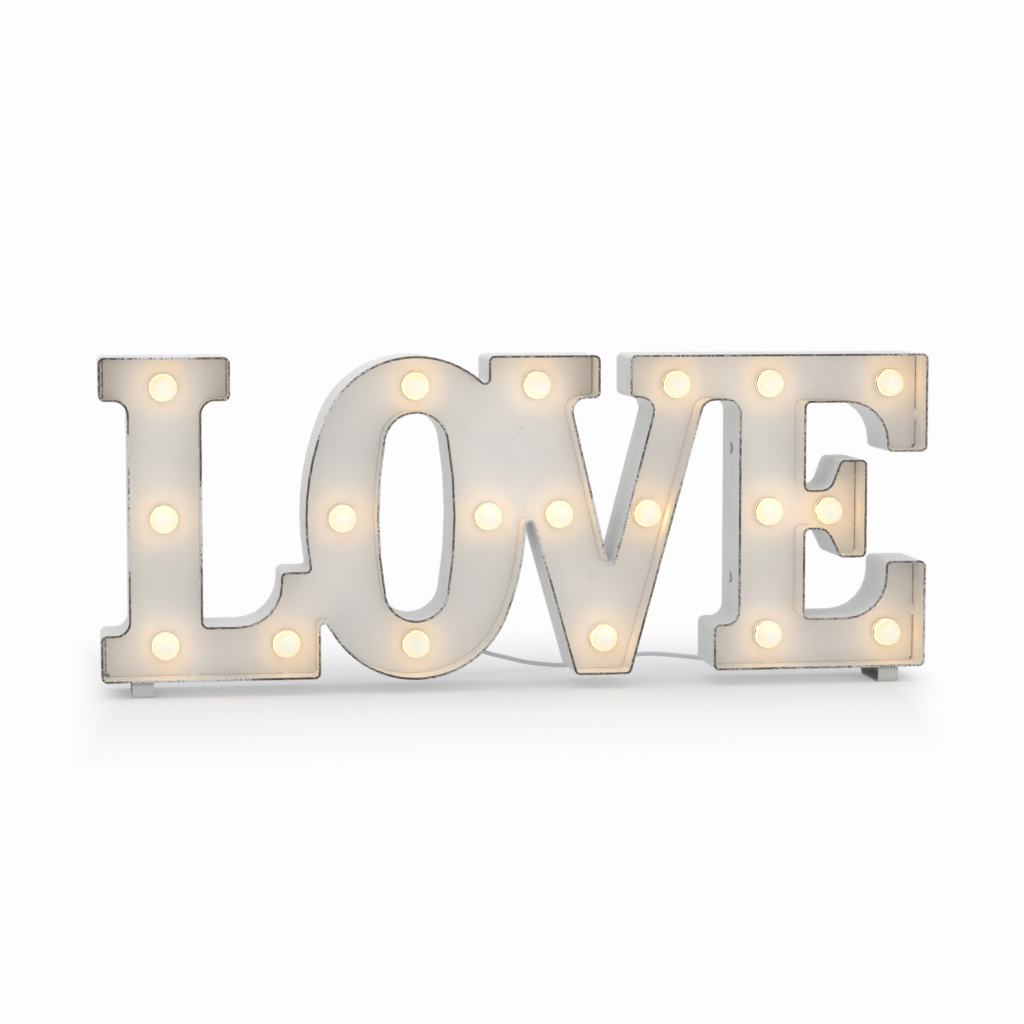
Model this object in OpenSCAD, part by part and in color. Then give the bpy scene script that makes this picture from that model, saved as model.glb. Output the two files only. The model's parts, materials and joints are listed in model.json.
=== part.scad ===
// Marquee sign of four joined slab-serif letters that spell a common word.
// A letter-shaped sheet-metal band holds a recessed face panel with round bulbs and a screwed back
// cover. Two bent strips are its feet, and a thin lead with an inline switch leaves the back.
// Millimetres. X runs along the sign, the open front faces -Y, Z is up and the feet stand on Z = 0.

/* [Housing] */
// Overall width across the letters
sign_w = 600; // [560:1:660]
// Height of the letters above their baseline
letter_h = 230; // [215:1:250]
// Depth from the front rim to the back edge
depth = 55.5; // [52:0.5:66]
// Thickness of the sheet of the side bands
sheet_t = 0.8; // [0.6:0.1:1]
// Depth of the folded hem along the front rim
hem_d = 6; // [3:0.5:10]
// How far the face panel lies behind the front rim
panel_recess = 30; // [26:0.5:32]
// Thickness of the face panel and of the back cover
plate_t = 1; // [0.8:0.1:1.4]
// Gap between the edge of a plate and the band
edge_gap = 0.15; // [0.1:0.05:0.6]
// How far the back cover lies inside the back edge
cover_recess = 2.2; // [2:0.1:3]

/* [Letter details] */
// Height of the serifs at the top of the letters
serif_h = 31; // [28:0.5:33]
// Height of the serifs at the bottom of the stems
base_serif_h = 33.9; // [30:0.1:37]
// Outer radius of the convex corners
corner_r = 4.4; // [3:0.1:6]
// Radius of the small inside corners
inner_r = 3.6; // [3:0.1:5]
// Radius of the brackets between a stem and a serif
bracket_r = 9.6; // [6:0.1:11]
// Radius of the large sweeps inside the arms of the L and the E
sweep_r = 29.8; // [24:0.1:31]
// Radius at the root of the notches between two letters
notch_r = 2.8; // [2:0.1:3]
// Width of the notches between a straight end and the O
notch_w = 6.1; // [5:0.1:8]

/* [Letter L] */
// Width of the foot of the L
l_w = 155.2; // [140:0.1:170]
// Distance from the left end to the stem
l_stem_x = 19.8; // [17:0.1:23]
// Width of the stem
l_stem_w = 52.1; // [48:0.1:56]
// Width of the top serif
l_serif_w = 92.2; // [90:0.1:98]
// Height of the foot
l_foot_h = 38.9; // [36:0.1:41]
// Width of the upturned tip of the foot
l_tip_w = 28.2; // [25:0.1:32]
// Height of the upturned tip
l_tip_h = 77.2; // [75:0.1:80]

/* [Letter O] */
// How far the O overlaps the foot of the L
o_overlap = 10.6; // [9:0.1:12]
// Width of the O
o_w = 158.6; // [145:0.1:174]
// How far the O dips under the baseline
o_drop = 2; // [1:0.1:4]
// How much smaller the radius of the ends of the O is than half its width
o_shoulder = 9; // [7:0.1:11]
// Width of the stroke at the sides of the O
o_side_w = 52.7; // [50:0.1:56]
// Height of the stroke at the top and the bottom of the O
o_cap_h = 41.9; // [40:0.1:45]
// How much smaller the radius of the ends of the hole is than half its width
counter_shoulder = 4.4; // [3.2:0.1:6]
// How far the hole sits above the middle of the O
counter_lift = 0.9; // [0:0.1:2]

/* [Letter V] */
// How far the left serif of the V overlaps the O
v_overlap = 27; // [25:0.1:29]
// Width of the left serif
v_serif_w = 81; // [78:0.1:84]
// Gap between the two serifs
v_gap_w = 21.8; // [18:0.1:25]
// Distance from the left end of the left serif to the flat point
v_point_in = 63.5; // [61:0.1:66]
// Width of the flat point
v_point_w = 40.3; // [38:0.1:43]
// How far the point dips under the baseline
v_drop = 1.2; // [0.5:0.1:3]
// Distance from the left end of the point to the crotch
v_crotch_in = 25.4; // [23:0.1:27]
// Height of the sharp crotch before rounding
v_crotch_z = 71.8; // [69:0.1:76]
// Radius of the crotch
v_crotch_r = 2.4; // [2:0.1:3.5]
// Distance from the left end of the left serif to the outer edge of its arm
v_arm_in = 6.9; // [5:0.1:9]
// Overhang of the left serif past the inner edge of its arm
v_hang_l = 22.2; // [20:0.1:24]
// Overhang of the right serif past the inner edge of its arm
v_hang_r = 19.4; // [17:0.1:22]
// Depth of the bar that joins the tops of the V and the E
top_bar_h = 33.3; // [31:0.1:36]

/* [Letter E] */
// Distance from the left end of the right serif of the V to the stem
e_offset = 80.4; // [78:0.1:83]
// Gap between the V and the stem under the bar
ve_gap = 25.6; // [23:0.1:28]
// How far the base serif reaches past the stem
e_serif_out = 18; // [16:0.1:20]
// Width of the E from the left side of its stem to its right end
e_w = 140.6; // [130:0.1:150]
// Width of the stem
e_stem_w = 49.6; // [46:0.1:53]
// Height of the bottom arm at the stem
e_foot_h = 37.3; // [34:0.1:40]
// Height of the upturned end of the bottom arm
e_tip_h = 78.2; // [76:0.1:79]
// Width of the ends of the top and bottom arms
e_tip_w = 30.3; // [28:0.1:33]
// Depth of the top arm at the stem
e_top_h = 35.5; // [33:0.1:38]
// Drop of the end of the top arm under the top
e_top_drop = 71.8; // [70.5:0.1:73]
// Right end of the middle arm from the left side of the stem
e_mid_w = 95.5; // [92:0.1:99]
// Height of the lower edge of the middle arm at the stem
e_mid_low = 102; // [100:0.1:104]
// Height of the upper edge of the middle arm at the stem
e_mid_high = 131.1; // [129:0.1:133]
// Height of the lower end of the middle serif
e_mid_bottom = 81.2; // [80.5:0.1:83]
// Height of the upper end of the middle serif
e_mid_top = 152.8; // [151:0.1:154]
// Width of the middle serif at its ends
e_mid_serif_w = 19.8; // [18:0.1:22]
// Lean of the lower back edge of the middle serif in mm across for each mm up
e_mid_lean_low = 0.5; // [0.4:0.01:0.55]
// Lean of the upper back edge of the middle serif
e_mid_lean_high = 0.375; // [0.3:0.005:0.45]

/* [Bulbs] */
// Distance of the end bulbs from the end of their stroke
bulb_edge = 22.8; // [21:0.1:26]
// Distance of the top row under the top edge
bulb_top = 22.4; // [20:0.1:24]
// How far the middle row lies under the middle of its letter
bulb_mid_drop = 1.3; // [0:0.1:3]
// Shift of the bulbs of the O towards the V
o_bulb_shift = 2.2; // [0:0.1:4]
// Distance of the serif bulbs of the V from the left end of each serif
v_serif_bulb = 38.5; // [34:0.1:42]
// Shift of the middle bulb in the right arm of the V towards the E
v_arm_shift = 2.4; // [0:0.1:4]
// Shift of the lowest bulb of the V from the crotch towards the O
v_low_shift = 1.2; // [0:0.1:5]
// Distance of the stem bulbs of the E from the left side of the stem
e_stem_bulb = 27.6; // [23:0.1:29]
// Diameter of the globe
globe_d = 19; // [18:0.1:21]
// Wall of the globe
globe_wall = 1.2; // [0.8:0.1:1.6]
// Outer diameter of the neck of the globe
neck_d = 15; // [13.5:0.1:15.6]
// Diameter of the collar of the holder
collar_d = 19.6; // [19:0.1:23]
// Height of the collar in front of the panel
collar_h = 3.2; // [2.8:0.1:4]
// Depth of the recess in the collar that takes the neck
neck_seat_d = 2.2; // [1.8:0.1:2.5]
// Diameter of the barrel of the holder
barrel_d = 13.6; // [12:0.1:14]
// Length of the barrel behind the panel
barrel_l = 13; // [11:0.5:14]
// Radial clearance of the barrel in the panel and of the neck in the collar
bulb_fit = 0.2; // [0.1:0.05:0.3]
// Number of slots round the neck
slot_count = 6; // [4:1:8]
// Width of the slots
slot_w = 3; // [2:0.1:4]
// Depth of the slots
slot_d = 1.4; // [1:0.1:1.8]
// Diameter of the light-emitting diode
led_d = 5; // [3:0.5:5]

/* [Back and feet] */
// Radius of the half-moon stops in front of the panel
stop_r = 4.6; // [3:0.1:5]
// How far the stops are pressed in
stop_rise = 1.4; // [1:0.1:2]
// Width of the cover brackets along the band
bracket_w = 10; // [8:0.5:12]
// Reach of the bracket flange from the band
bracket_reach = 10; // [9:0.5:11]
// Thread diameter of the cover screws
screw_d = 3; // [2.5:0.5:3.5]
// Head diameter of the cover screws
screw_head_d = 5.6; // [5:0.1:6.5]
// Diameter of the entry of each hanging keyhole
hang_d = 8; // [7:0.5:9]
// Width of the slot of each keyhole
hang_slot_w = 4; // [3.5:0.5:5]
// Rise of the slot above the entry
hang_rise = 6; // [5:0.5:6.5]
// Distance of each keyhole from its end of the sign
hang_inset = 70; // [66:0.5:74]
// Distance of the keyholes under the top edge
hang_drop = 13; // [12:0.5:14]
// Height of the feet
foot_h = 11.5; // [10:0.5:15]
// Width of the foot strip
foot_w = 15.2; // [13:0.1:18]
// Length of the foot from front to back
foot_l = 48; // [44:0.5:50]
// Thickness of the foot strip
foot_t = 1.5; // [1.2:0.1:2]
// Bend radius of the foot strip at its outside
foot_r = 4; // [3:0.5:4.5]
// Distance of the foot behind the front rim
foot_front = 3; // [1:0.5:5]
// Distance of the middle of a foot from the end of the sign
foot_inset = 28; // [24:0.5:32]
// Shift of both feet towards the E
foot_shift = 1.2; // [0:0.1:3]
// Diameter of the foot rivets
rivet_d = 3.2; // [3:0.1:4]

/* [Lead] */
// Diameter of the lead
cord_d = 3.3; // [3:0.1:3.4]
// Distance of the gland from the middle of the O
gland_in = 22.1; // [20:0.1:24]
// Height of the gland above the baseline
gland_z = 18; // [16:0.5:20]
// Length of the tapered strain relief
gland_l = 18; // [15:0.5:20]
// Length of the inline switch
switch_l = 40; // [38:0.5:42]
// Width of the switch
switch_w = 18; // [17:0.5:20]
// Height of the switch
switch_h = 13; // [12:0.5:14]
// Length of the nubs that grip the lead at both ends of the switch
switch_nub = 5; // [4:0.5:6]
// Wall of the switch housing
switch_wall = 1.6; // [1.2:0.1:1.8]
// Length of the rocker
rocker_l = 15; // [13:0.5:15]
// Width of the rocker
rocker_w = 8.4; // [7:0.1:8.6]
// Tilt of the rocker to each side of level
rocker_tilt = 9; // [6:0.5:10]
// Diameter of the rocker's trunnions
trunnion_d = 2.2; // [2:0.1:2.4]
// Radial running clearance of the trunnions
trunnion_fit = 0.2; // [0.15:0.01:0.25]
// Length of the moulded grip of the plug
plug_l = 24; // [20:0.5:26]
// Width of the grip
plug_w = 15.5; // [15:0.1:17]
// Height of the grip
plug_h = 8; // [7.5:0.1:9]

/* [Hidden] */
$fn = 48;
arc_step = 5;
corner_step = 15;
rim_t = 2 * sheet_t;

// Depth chain along Y
front_y = -depth / 2;
back_y = depth / 2;
panel_y = front_y + panel_recess;
panel_back_y = panel_y + plate_t;
cover_out_y = back_y - cover_recess;
cover_in_y = cover_out_y - plate_t;

function unit(v) = v / norm(v);
function reversed(list) = [for (i = [len(list) - 1 : -1 : 0]) list[i]];
function on_circle(c, r, a) = c + r * [cos(a), sin(a)];
function heading(a) = [-sin(a), cos(a)];
function arc(c, r, a0, a1) =
    let (n = ceil(abs(a1 - a0) / arc_step))
    [for (k = [0 : n]) on_circle(c, r, a0 + (a1 - a0) * k / n)];
function after_first(list) = [for (i = [1 : len(list) - 1]) list[i]];
function sharp(points) = [for (p = points) [p[0], p[1], 0]];

// Rounded outlines. A corner is [x, z, radius], and a closed list of corners runs anticlockwise.
// A positive inset moves every edge inwards, so a band and the plates in it are truly parallel.
function edge_way(path, i) =
    let (n = len(path), a = path[(i + n) % n], b = path[(i + 1) % n])
    unit([b[0] - a[0], b[1] - a[1]]);
function edge_len(path, i) =
    let (n = len(path), a = path[(i + n) % n], b = path[(i + 1) % n])
    norm([b[0] - a[0], b[1] - a[1]]);
function left_of(v) = [-v[1], v[0]];
function turn_of(u, v) = atan2(u[0] * v[1] - u[1] * v[0], u * v);
function corner_points(path, i, inset) =
    let (
        u = edge_way(path, i - 1),
        v = edge_way(path, i),
        turn = turn_of(u, v),
        side = turn > 0 ? 1 : -1,
        nu = left_of(u),
        nv = left_of(v),
        at = [path[i][0], path[i][1]] + inset * (nu + nv) / (1 + nu * nv),
        room = 0.97 * min(edge_len(path, i - 1), edge_len(path, i)),
        asked = min(path[i][2], room / max(tan(abs(turn) / 2), 0.001)),
        r = max(asked - side * inset, 0.05),
        reach = r * tan(abs(turn) / 2),
        start = at - reach * u,
        c = start + side * r * nu,
        n = ceil(abs(turn) / corner_step)
    )
    path[i][2] == 0
        ? [at]
        : [for (k = [0 : n])
            let (a = turn * k / n, w = start - c)
            c + [w[0] * cos(a) - w[1] * sin(a), w[0] * sin(a) + w[1] * cos(a)]];
function outline(path, inset = 0) =
    [for (i = [0 : len(path) - 1]) each corner_points(path, i, inset)];
function rounded_box(l, w, r) =
    [[-l / 2, -w / 2, r], [l / 2, -w / 2, r], [l / 2, w / 2, r], [-l / 2, w / 2, r]];

// An oval of four tangent arcs, grown by a parallel offset
function oval_side_r(w, h, end_r) =
    let (a = w / 2, b = h / 2) (a * a + b * b - 2 * b * end_r) / (2 * (a - end_r));
function oval(c, w, h, end_r, grow = 0) =
    let (
        side_r = oval_side_r(w, h, end_r),
        rise = h / 2 - end_r,
        run = side_r - w / 2,
        join = atan2(rise, run)
    )
    concat(
        arc(c + [-run, 0], side_r + grow, -join, join),
        arc(c + [0, rise], end_r + grow, join, 180 - join),
        arc(c + [run, 0], side_r + grow, 180 - join, 180 + join),
        arc(c - [0, rise], end_r + grow, 180 + join, 360 - join)
    );

// What the overall width leaves over is shared by the four letters
natural_w = l_w - o_overlap + o_w - v_overlap + v_serif_w + v_gap_w + e_offset + e_w;
share = (sign_w - natural_w) / 4;
l_end = l_w + share;
o_width = o_w + share;
v_gap = v_gap_w + share;

// The L
serif_z = letter_h - serif_h;
l_stem_r = l_stem_x + l_stem_w;
l_tip_x = l_end - l_tip_w;

// The O
o_x = l_end - o_overlap + o_width / 2;
o_h = letter_h + o_drop;
o_z = o_h / 2 - o_drop;
o_end_r = o_width / 2 - o_shoulder;
o_side_r = oval_side_r(o_width, o_h, o_end_r);
o_rise = o_h / 2 - o_end_r;
o_run = o_side_r - o_width / 2;
o_join = atan2(o_rise, o_run);
o_top = [o_x, o_z + o_rise];
o_low = [o_x, o_z - o_rise];
o_left = [o_x + o_run, o_z];
o_right = [o_x - o_run, o_z];
counter_c = [o_x, o_z + counter_lift];
counter_w = o_width - 2 * o_side_w;
counter_h = o_h - 2 * o_cap_h;
counter_end_r = counter_w / 2 - counter_shoulder;

// The V and the stem of the E, which carry each other at the top bar
v_serif_x = o_x + o_width / 2 - v_overlap;
v_serif_end = v_serif_x + v_serif_w;
v_serif_2 = v_serif_end + v_gap;
v_point_x = v_serif_x + v_point_in + share / 2;
v_crotch_x = v_point_x + v_crotch_in;
e_stem_x = v_serif_2 + e_offset;
e_serif_x = e_stem_x - e_serif_out;
bar_z = letter_h - top_bar_h;
v_lean_outer_l = (v_point_x - v_serif_x - v_arm_in) / (serif_z + v_drop);
v_lean_inner_l = (v_crotch_x - v_serif_end + v_hang_l) / (serif_z - v_crotch_z);
v_lean_inner_r = (v_serif_2 + v_hang_r - v_crotch_x) / (serif_z - v_crotch_z);
v_lean_outer_r = (e_stem_x - ve_gap - v_point_x - v_point_w) / (bar_z + v_drop);
function v_outer_l(z) = v_point_x - v_lean_outer_l * (z + v_drop);
function v_outer_r(z) = v_point_x + v_point_w + v_lean_outer_r * (z + v_drop);
function v_inner_l(z) = v_crotch_x - v_lean_inner_l * (z - v_crotch_z);
function v_inner_r(z) = v_crotch_x + v_lean_inner_r * (z - v_crotch_z);

// Where the straight edges meet the O, each on a tangent of the O
lo_turn = 180 + acos((o_x - l_end - notch_w) / o_end_r);
lo_touch = on_circle(o_low, o_end_r, lo_turn);
lo_notch = lo_touch - heading(lo_turn) * (lo_touch[0] - l_end) / heading(lo_turn)[0];
ov_turn = acos((v_serif_x - notch_w - o_x) / o_end_r);
ov_touch = on_circle(o_top, o_end_r, ov_turn);
ov_notch = ov_touch - heading(ov_turn) * (ov_touch[0] - v_serif_x) / heading(ov_turn)[0];
side_turn = 4;
vo_touch = on_circle(o_right, o_side_r, -side_turn);
vo_way = heading(-side_turn);
vo_notch = vo_touch
    + vo_way * (v_outer_l(vo_touch[1]) - vo_touch[0]) / (vo_way[0] + v_lean_outer_l * vo_way[1]);
tip_turn = 180 + asin((o_z - l_tip_h - notch_w) / o_side_r);
tip_touch = on_circle(o_left, o_side_r, tip_turn);
tip_notch = tip_touch + heading(tip_turn) * (l_tip_h - tip_touch[1]) / heading(tip_turn)[1];

// The arms of the E
e_arm_x = e_stem_x + e_stem_w;
e_tip_x = sign_w - e_tip_w;
e_top_low = letter_h - e_top_drop;
e_mid_x = e_stem_x + e_mid_w;
e_mid_tip = e_mid_x - e_mid_serif_w;
e_mid_root_low = e_mid_tip - e_mid_lean_low * (e_mid_low - e_mid_bottom);
e_mid_root_high = e_mid_tip - e_mid_lean_high * (e_mid_top - e_mid_high);

// Rows of bulbs
row_top = letter_h - bulb_top;
row_mid = letter_h / 2 - bulb_mid_drop;
row_low = bulb_edge;
upper_half = (row_mid + row_top) / 2;
lower_half = (row_low + row_mid) / 2;

// The band is bent from strips. Each list starts at a seam and ends before the next strip's seam.
e_low_seam = (e_arm_x + e_tip_x) / 2;
e_high_seam = (e_mid_high + letter_h - e_top_h) / 2;
STRIPS = [
    ["band_o_lower", concat(
        [[l_end, row_low, 0], [lo_notch[0], lo_notch[1], notch_r]],
        sharp(arc(o_low, o_end_r, lo_turn, 360 - o_join)),
        sharp(after_first(arc(o_right, o_side_r, -o_join, -side_turn))),
        [[vo_notch[0], vo_notch[1], notch_r]])],
    ["band_v_point", [
        [v_outer_l(lower_half), lower_half, 0],
        [v_point_x, -v_drop, corner_r],
        [v_point_x + v_point_w, -v_drop, corner_r]]],
    ["band_e_stem", [
        [v_outer_r(lower_half), lower_half, 0],
        [v_outer_r(bar_z), bar_z, bracket_r],
        [e_stem_x, bar_z, bracket_r],
        [e_stem_x, base_serif_h, bracket_r],
        [e_serif_x, base_serif_h, corner_r],
        [e_serif_x, 0, corner_r]]],
    ["band_e_lower", [
        [e_low_seam, 0, 0],
        [sign_w, 0, corner_r],
        [sign_w, e_tip_h, corner_r],
        [e_tip_x, e_tip_h, corner_r],
        [e_tip_x, e_foot_h, sweep_r],
        [e_arm_x, e_foot_h, inner_r]]],
    ["band_e_middle", [
        [e_arm_x, lower_half, 0],
        [e_arm_x, e_mid_low, inner_r],
        [e_mid_root_low, e_mid_low, bracket_r],
        [e_mid_tip, e_mid_bottom, corner_r],
        [e_mid_x, e_mid_bottom, corner_r],
        [e_mid_x, e_mid_top, corner_r],
        [e_mid_tip, e_mid_top, corner_r],
        [e_mid_root_high, e_mid_high, bracket_r],
        [e_arm_x, e_mid_high, inner_r]]],
    ["band_e_upper", [
        [e_arm_x, e_high_seam, 0],
        [e_arm_x, letter_h - e_top_h, inner_r],
        [e_tip_x, letter_h - e_top_h, sweep_r],
        [e_tip_x, e_top_low, corner_r],
        [sign_w, e_top_low, corner_r],
        [sign_w, letter_h, corner_r]]],
    ["band_v_crotch", [
        [e_arm_x, letter_h, 0],
        [v_serif_2, letter_h, corner_r],
        [v_serif_2, serif_z, corner_r],
        [v_inner_r(serif_z), serif_z, bracket_r],
        [v_crotch_x, v_crotch_z, v_crotch_r]]],
    ["band_v_serif", [
        [v_inner_l(row_mid), row_mid, 0],
        [v_inner_l(serif_z), serif_z, bracket_r],
        [v_serif_end, serif_z, corner_r],
        [v_serif_end, letter_h, corner_r],
        [v_serif_x, letter_h, corner_r],
        [ov_notch[0], ov_notch[1], notch_r]]],
    ["band_o_upper", concat(
        sharp(arc(o_top, o_end_r, ov_turn, 180 - o_join)),
        sharp(after_first(arc(o_left, o_side_r, 180 - o_join, tip_turn))),
        [[tip_notch[0], tip_notch[1], notch_r],
        [l_tip_x, l_tip_h, corner_r],
        [l_tip_x, l_foot_h, sweep_r],
        [l_stem_r, l_foot_h, inner_r]])],
    ["band_l_upper", [
        [l_stem_r, row_mid, 0],
        [l_stem_r, serif_z, bracket_r],
        [l_serif_w, serif_z, corner_r],
        [l_serif_w, letter_h, corner_r],
        [0, letter_h, corner_r],
        [0, serif_z, corner_r],
        [l_stem_x, serif_z, bracket_r]]],
    ["band_l_lower", [
        [l_stem_x, row_mid, 0],
        [l_stem_x, base_serif_h, bracket_r],
        [0, base_serif_h, corner_r],
        [0, 0, corner_r],
        [l_end, 0, corner_r]]]
];
LETTERS = [for (strip = STRIPS) each strip[1]];
function first_corner(k) = k == 0 ? 0 : first_corner(k - 1) + len(STRIPS[k - 1][1]);
function strip_edge(k, inset) =
    [for (i = [first_corner(k) : first_corner(k + 1)])
        each corner_points(LETTERS, i % len(LETTERS), inset)];

// Bulb places, letter by letter
l_mid = l_stem_x + l_stem_w / 2;
o_mid = o_x + o_bulb_shift;
o_ring = (o_width - o_side_w) / 2;
o_row_mid = o_z - bulb_mid_drop;
e_mid = e_stem_x + e_stem_bulb;
BULBS = [
    ["l", [[l_mid, row_top], [l_mid, row_mid], [l_mid, row_low], [l_end - bulb_edge, row_low]]],
    ["o", [
        [o_mid, row_top], [o_mid - o_ring, o_row_mid],
        [o_mid + o_ring, o_row_mid], [o_mid, row_low - o_drop]]],
    ["v", [
        [v_serif_x + v_serif_bulb, row_top],
        [(v_outer_l(row_mid) + v_inner_l(row_mid)) / 2, row_mid],
        [(v_inner_r(row_mid) + v_outer_r(row_mid)) / 2 + v_arm_shift, row_mid],
        [v_serif_2 + v_serif_bulb, row_top],
        [v_crotch_x - v_low_shift, row_low]]],
    ["e", [
        [e_mid, row_top], [sign_w - bulb_edge, row_top],
        [e_mid, row_mid], [e_mid_x - bulb_edge, row_mid],
        [e_mid, row_low], [sign_w - bulb_edge, row_low]]]
];
ALL_BULBS = [for (group = BULBS) each group[1]];
function globe_name(group, i) = str("globe_", group[0], "_", i + 1);
function group_name(what, group) = str(what, "_", group[0]);

// Sizes of a bulb, along its own axis with the panel's front at zero
globe_r = globe_d / 2;
neck_r = neck_d / 2;
globe_gap = 0.4;
seat_gap = 0.05;
globe_z = collar_h + globe_gap + sqrt(globe_r * globe_r - neck_r * neck_r);
neck_z = collar_h - neck_seat_d + seat_gap;
collar_edge = 0.8;
slot_share = 0.75;
snap_gap = 0.2;
snap_l = 2.2;
snap_out = 0.5;
led_seat_z = -5;
led_l = 8.6;
led_wire_gap = 0.3;
barrel_z = -plate_t - barrel_l;
lead_hole_r = 1;

// Half-moon stops pressed into the band in front of the panel: strip, x, z, inward direction.
// Two on each stem show from outside.
stop_wall = 0.6;
stop_drop = 3;
stop_high = upper_half;
stop_low = lower_half - stop_drop;
l_foot_mid = (l_mid + l_end - bulb_edge) / 2;
e_foot_mid = (e_mid + sign_w - bulb_edge) / 2;
e_end_stop = (e_top_low + row_top) / 2;
STOPS = [
    ["band_l_upper", l_stem_x, stop_high, 0],
    ["band_l_lower", l_stem_x, stop_low, 0],
    ["band_l_upper", l_stem_r, stop_high, 180],
    ["band_o_upper", l_stem_r, stop_low, 180],
    ["band_l_lower", (l_mid + l_foot_mid) / 2, 0, 90],
    ["band_l_lower", l_end - bulb_edge, 0, 90],
    ["band_l_upper", l_mid, letter_h, 270],
    ["band_v_serif", v_serif_x + v_serif_bulb, letter_h, 270],
    ["band_v_crotch", v_serif_2 + v_serif_bulb, letter_h, 270],
    ["band_e_upper", sign_w - bulb_edge, letter_h, 270],
    ["band_e_upper", sign_w, e_end_stop, 180],
    ["band_e_stem", e_stem_x, stop_high, 0],
    ["band_e_stem", e_stem_x, stop_low, 0],
    ["band_e_stem", e_mid, 0, 90],
    ["band_e_lower", sign_w, e_tip_h / 2, 180]
];

// Brackets that hold the cover and press the panel on its stops: x, z, inward direction
bracket_gap = 0.1;
BRACKETS = [
    [l_foot_mid, 0, 90],
    [l_stem_x, stop_high, 0],
    [l_stem_x, letter_h, 270],
    [(v_serif_x + v_serif_bulb + v_serif_end) / 2, letter_h, 270],
    [(v_serif_2 + v_serif_bulb + e_mid) / 2, letter_h, 270],
    [e_stem_x, stop_low, 0],
    [e_foot_mid, 0, 90],
    [sign_w, e_end_stop, 180],
    [v_point_x + v_point_w / 2, -v_drop, 90],
    [counter_c[0] - counter_w / 2 - bracket_gap, counter_c[1], 180]
];
bracket_t = 1;
screw_at = sheet_t + (bracket_reach + 2 * bracket_t) / 2;
screw_head_h = 1.8;
screw_l = 5;
screw_fit = 0.05;
screw_clear = 0.2;
cross_w = 0.8;
cross_d = 0.8;

// Feet and their rivets
foot_left_x = foot_shift + foot_inset - sign_w / 2;
foot_right_x = foot_shift + sign_w / 2 - foot_inset;
foot_seam = 1;
rivet_in = 3.6;
rivet_span = 9;
rivet_fit = 0.05;
rivet_head_d = rivet_d + 2.8;
rivet_tail_d = rivet_d + 1.6;
rivet_head_h = 1.2;

// Wires behind the panel run from bead to bead, and each bead is a solder joint or a bend
wire_r = 1;
bead_r = 1.6;
bead_gap = 0.2;
wire_sides = 8;
wire_y = panel_back_y + barrel_l + bead_gap + bead_r;
gland_x = o_x + gland_in;
gland_at = [gland_x, gland_z];
bend_in = 9;
bend_rise = 21;
BENDS = [
    [l_end - bend_in, l_foot_h + bend_rise], [o_x - o_ring + bend_in, l_foot_h + bend_rise],
    [o_x + o_ring - bend_in, l_foot_h + bend_rise], [o_x + o_ring - bend_in, serif_z - bend_rise],
    [v_serif_x + (v_serif_w - v_hang_l) / 2, row_mid + bend_rise]
];
BEADS = concat(ALL_BULBS, BENDS, [gland_at]);
WIRES = [
    [0, 1], [1, 2], [2, 3], [3, 19], [19, 5], [5, 20], [20, 7], [7, 24], [24, 21], [21, 6], [6, 22], [22, 4],
    [6, 23], [23, 9], [9, 8], [9, 12], [12, 10], [10, 11], [11, 13], [13, 14], [13, 15], [15, 17], [17, 18],
    [15, 16]
];

// Gland
gland_neck_d = 8;
gland_nut_d = 12;
gland_nut_h = 3;
gland_flange_h = 2;
gland_tip_d = cord_d + 1.6;
gland_ribs = 5;
gland_rib_share = 0.7;
gland_step = 0.1;

// The lead. Its route is in the part's own frame, from the gland to the plug.
cord_r = cord_d / 2;
cord_sides = 8;
coil_sides = 6;
gland_end_y = cover_out_y + gland_flange_h + gland_l;
RUN = [
    [gland_x - sign_w / 2, gland_end_y, gland_z + foot_h],
    [-54, 51, 29.4], [-52.5, 58, 29], [-48, 63.6, 27.8], [-41, 67, 25.8], [-33, 68, 23],
    [-23, 67.6, 19.2], [-12.7, 67.2, 15.1], [3, 70.2, 10.6], [19, 74.2, 6.2], [36.7, 80.2, 3.1],
    [52.2, 85.5, 1.8], [72, 96.5, 1.8], [92, 116, 1.8], [105, 128, 1.8], [115, 134, 1.8],
    [123.5, 136, 1.8], [132, 134.6, 1.8], [145, 124.5, 1.8], [159.8, 108.4, 1.9], [166, 101.5, 2.3]
];
switch_x = 255;
switch_y = 80;
switch_part_z = 6;
switch_end = switch_l / 2 + switch_nub;
TAIL = [
    [198, 86, 13.8], [206, 84.8, 12.2], [214, 82.6, 9.4], [221, 80.7, 7.2], [226, 80.1, 6.2],
    [switch_x - switch_end, switch_y, switch_part_z]
];
plug_x = 273;
plug_y = 117;
plug_relief_l = 9;
shell_x = plug_x - plug_relief_l - plug_l;
END = [
    [switch_x + switch_end, switch_y, switch_part_z],
    [285, 80.6, 5.7], [289.5, 83.5, 5.2], [292.3, 88.5, 4.8], [293.2, 95, 4.4], [292.5, 102, 4.2],
    [289.8, 108.5, 4.1], [285, 113.6, 4.05], [279, 116.3, 4],
    [plug_x, plug_y, plug_h / 2]
];

// A smooth curve through the points of a route, with extra points between them
function spline_at(a, b, c, d, t) =
    (2 * b + (c - a) * t + (2 * a - 5 * b + 4 * c - d) * t * t
        + (3 * b - a - 3 * c + d) * t * t * t) / 2;
function smooth(route, parts) =
    let (last = len(route) - 1)
    [for (i = [0 : last - 1])
        for (k = [0 : parts - 1])
            let (before = route[max(i - 1, 0)], after = route[min(i + 2, last)])
            spline_at(before, route[i], route[i + 1], after, k / parts),
    route[last]];
function ring(path, i, r, sides) =
    let (
        last = len(path) - 1,
        way = unit(path[min(i + 1, last)] - path[max(i - 1, 0)]),
        across = unit(cross([0, 0, 1], way)),
        up = cross(way, across)
    )
    [for (k = [0 : sides - 1])
        let (a = 360 * k / sides)
        path[i] + r * (cos(a) * across + sin(a) * up)];

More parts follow.
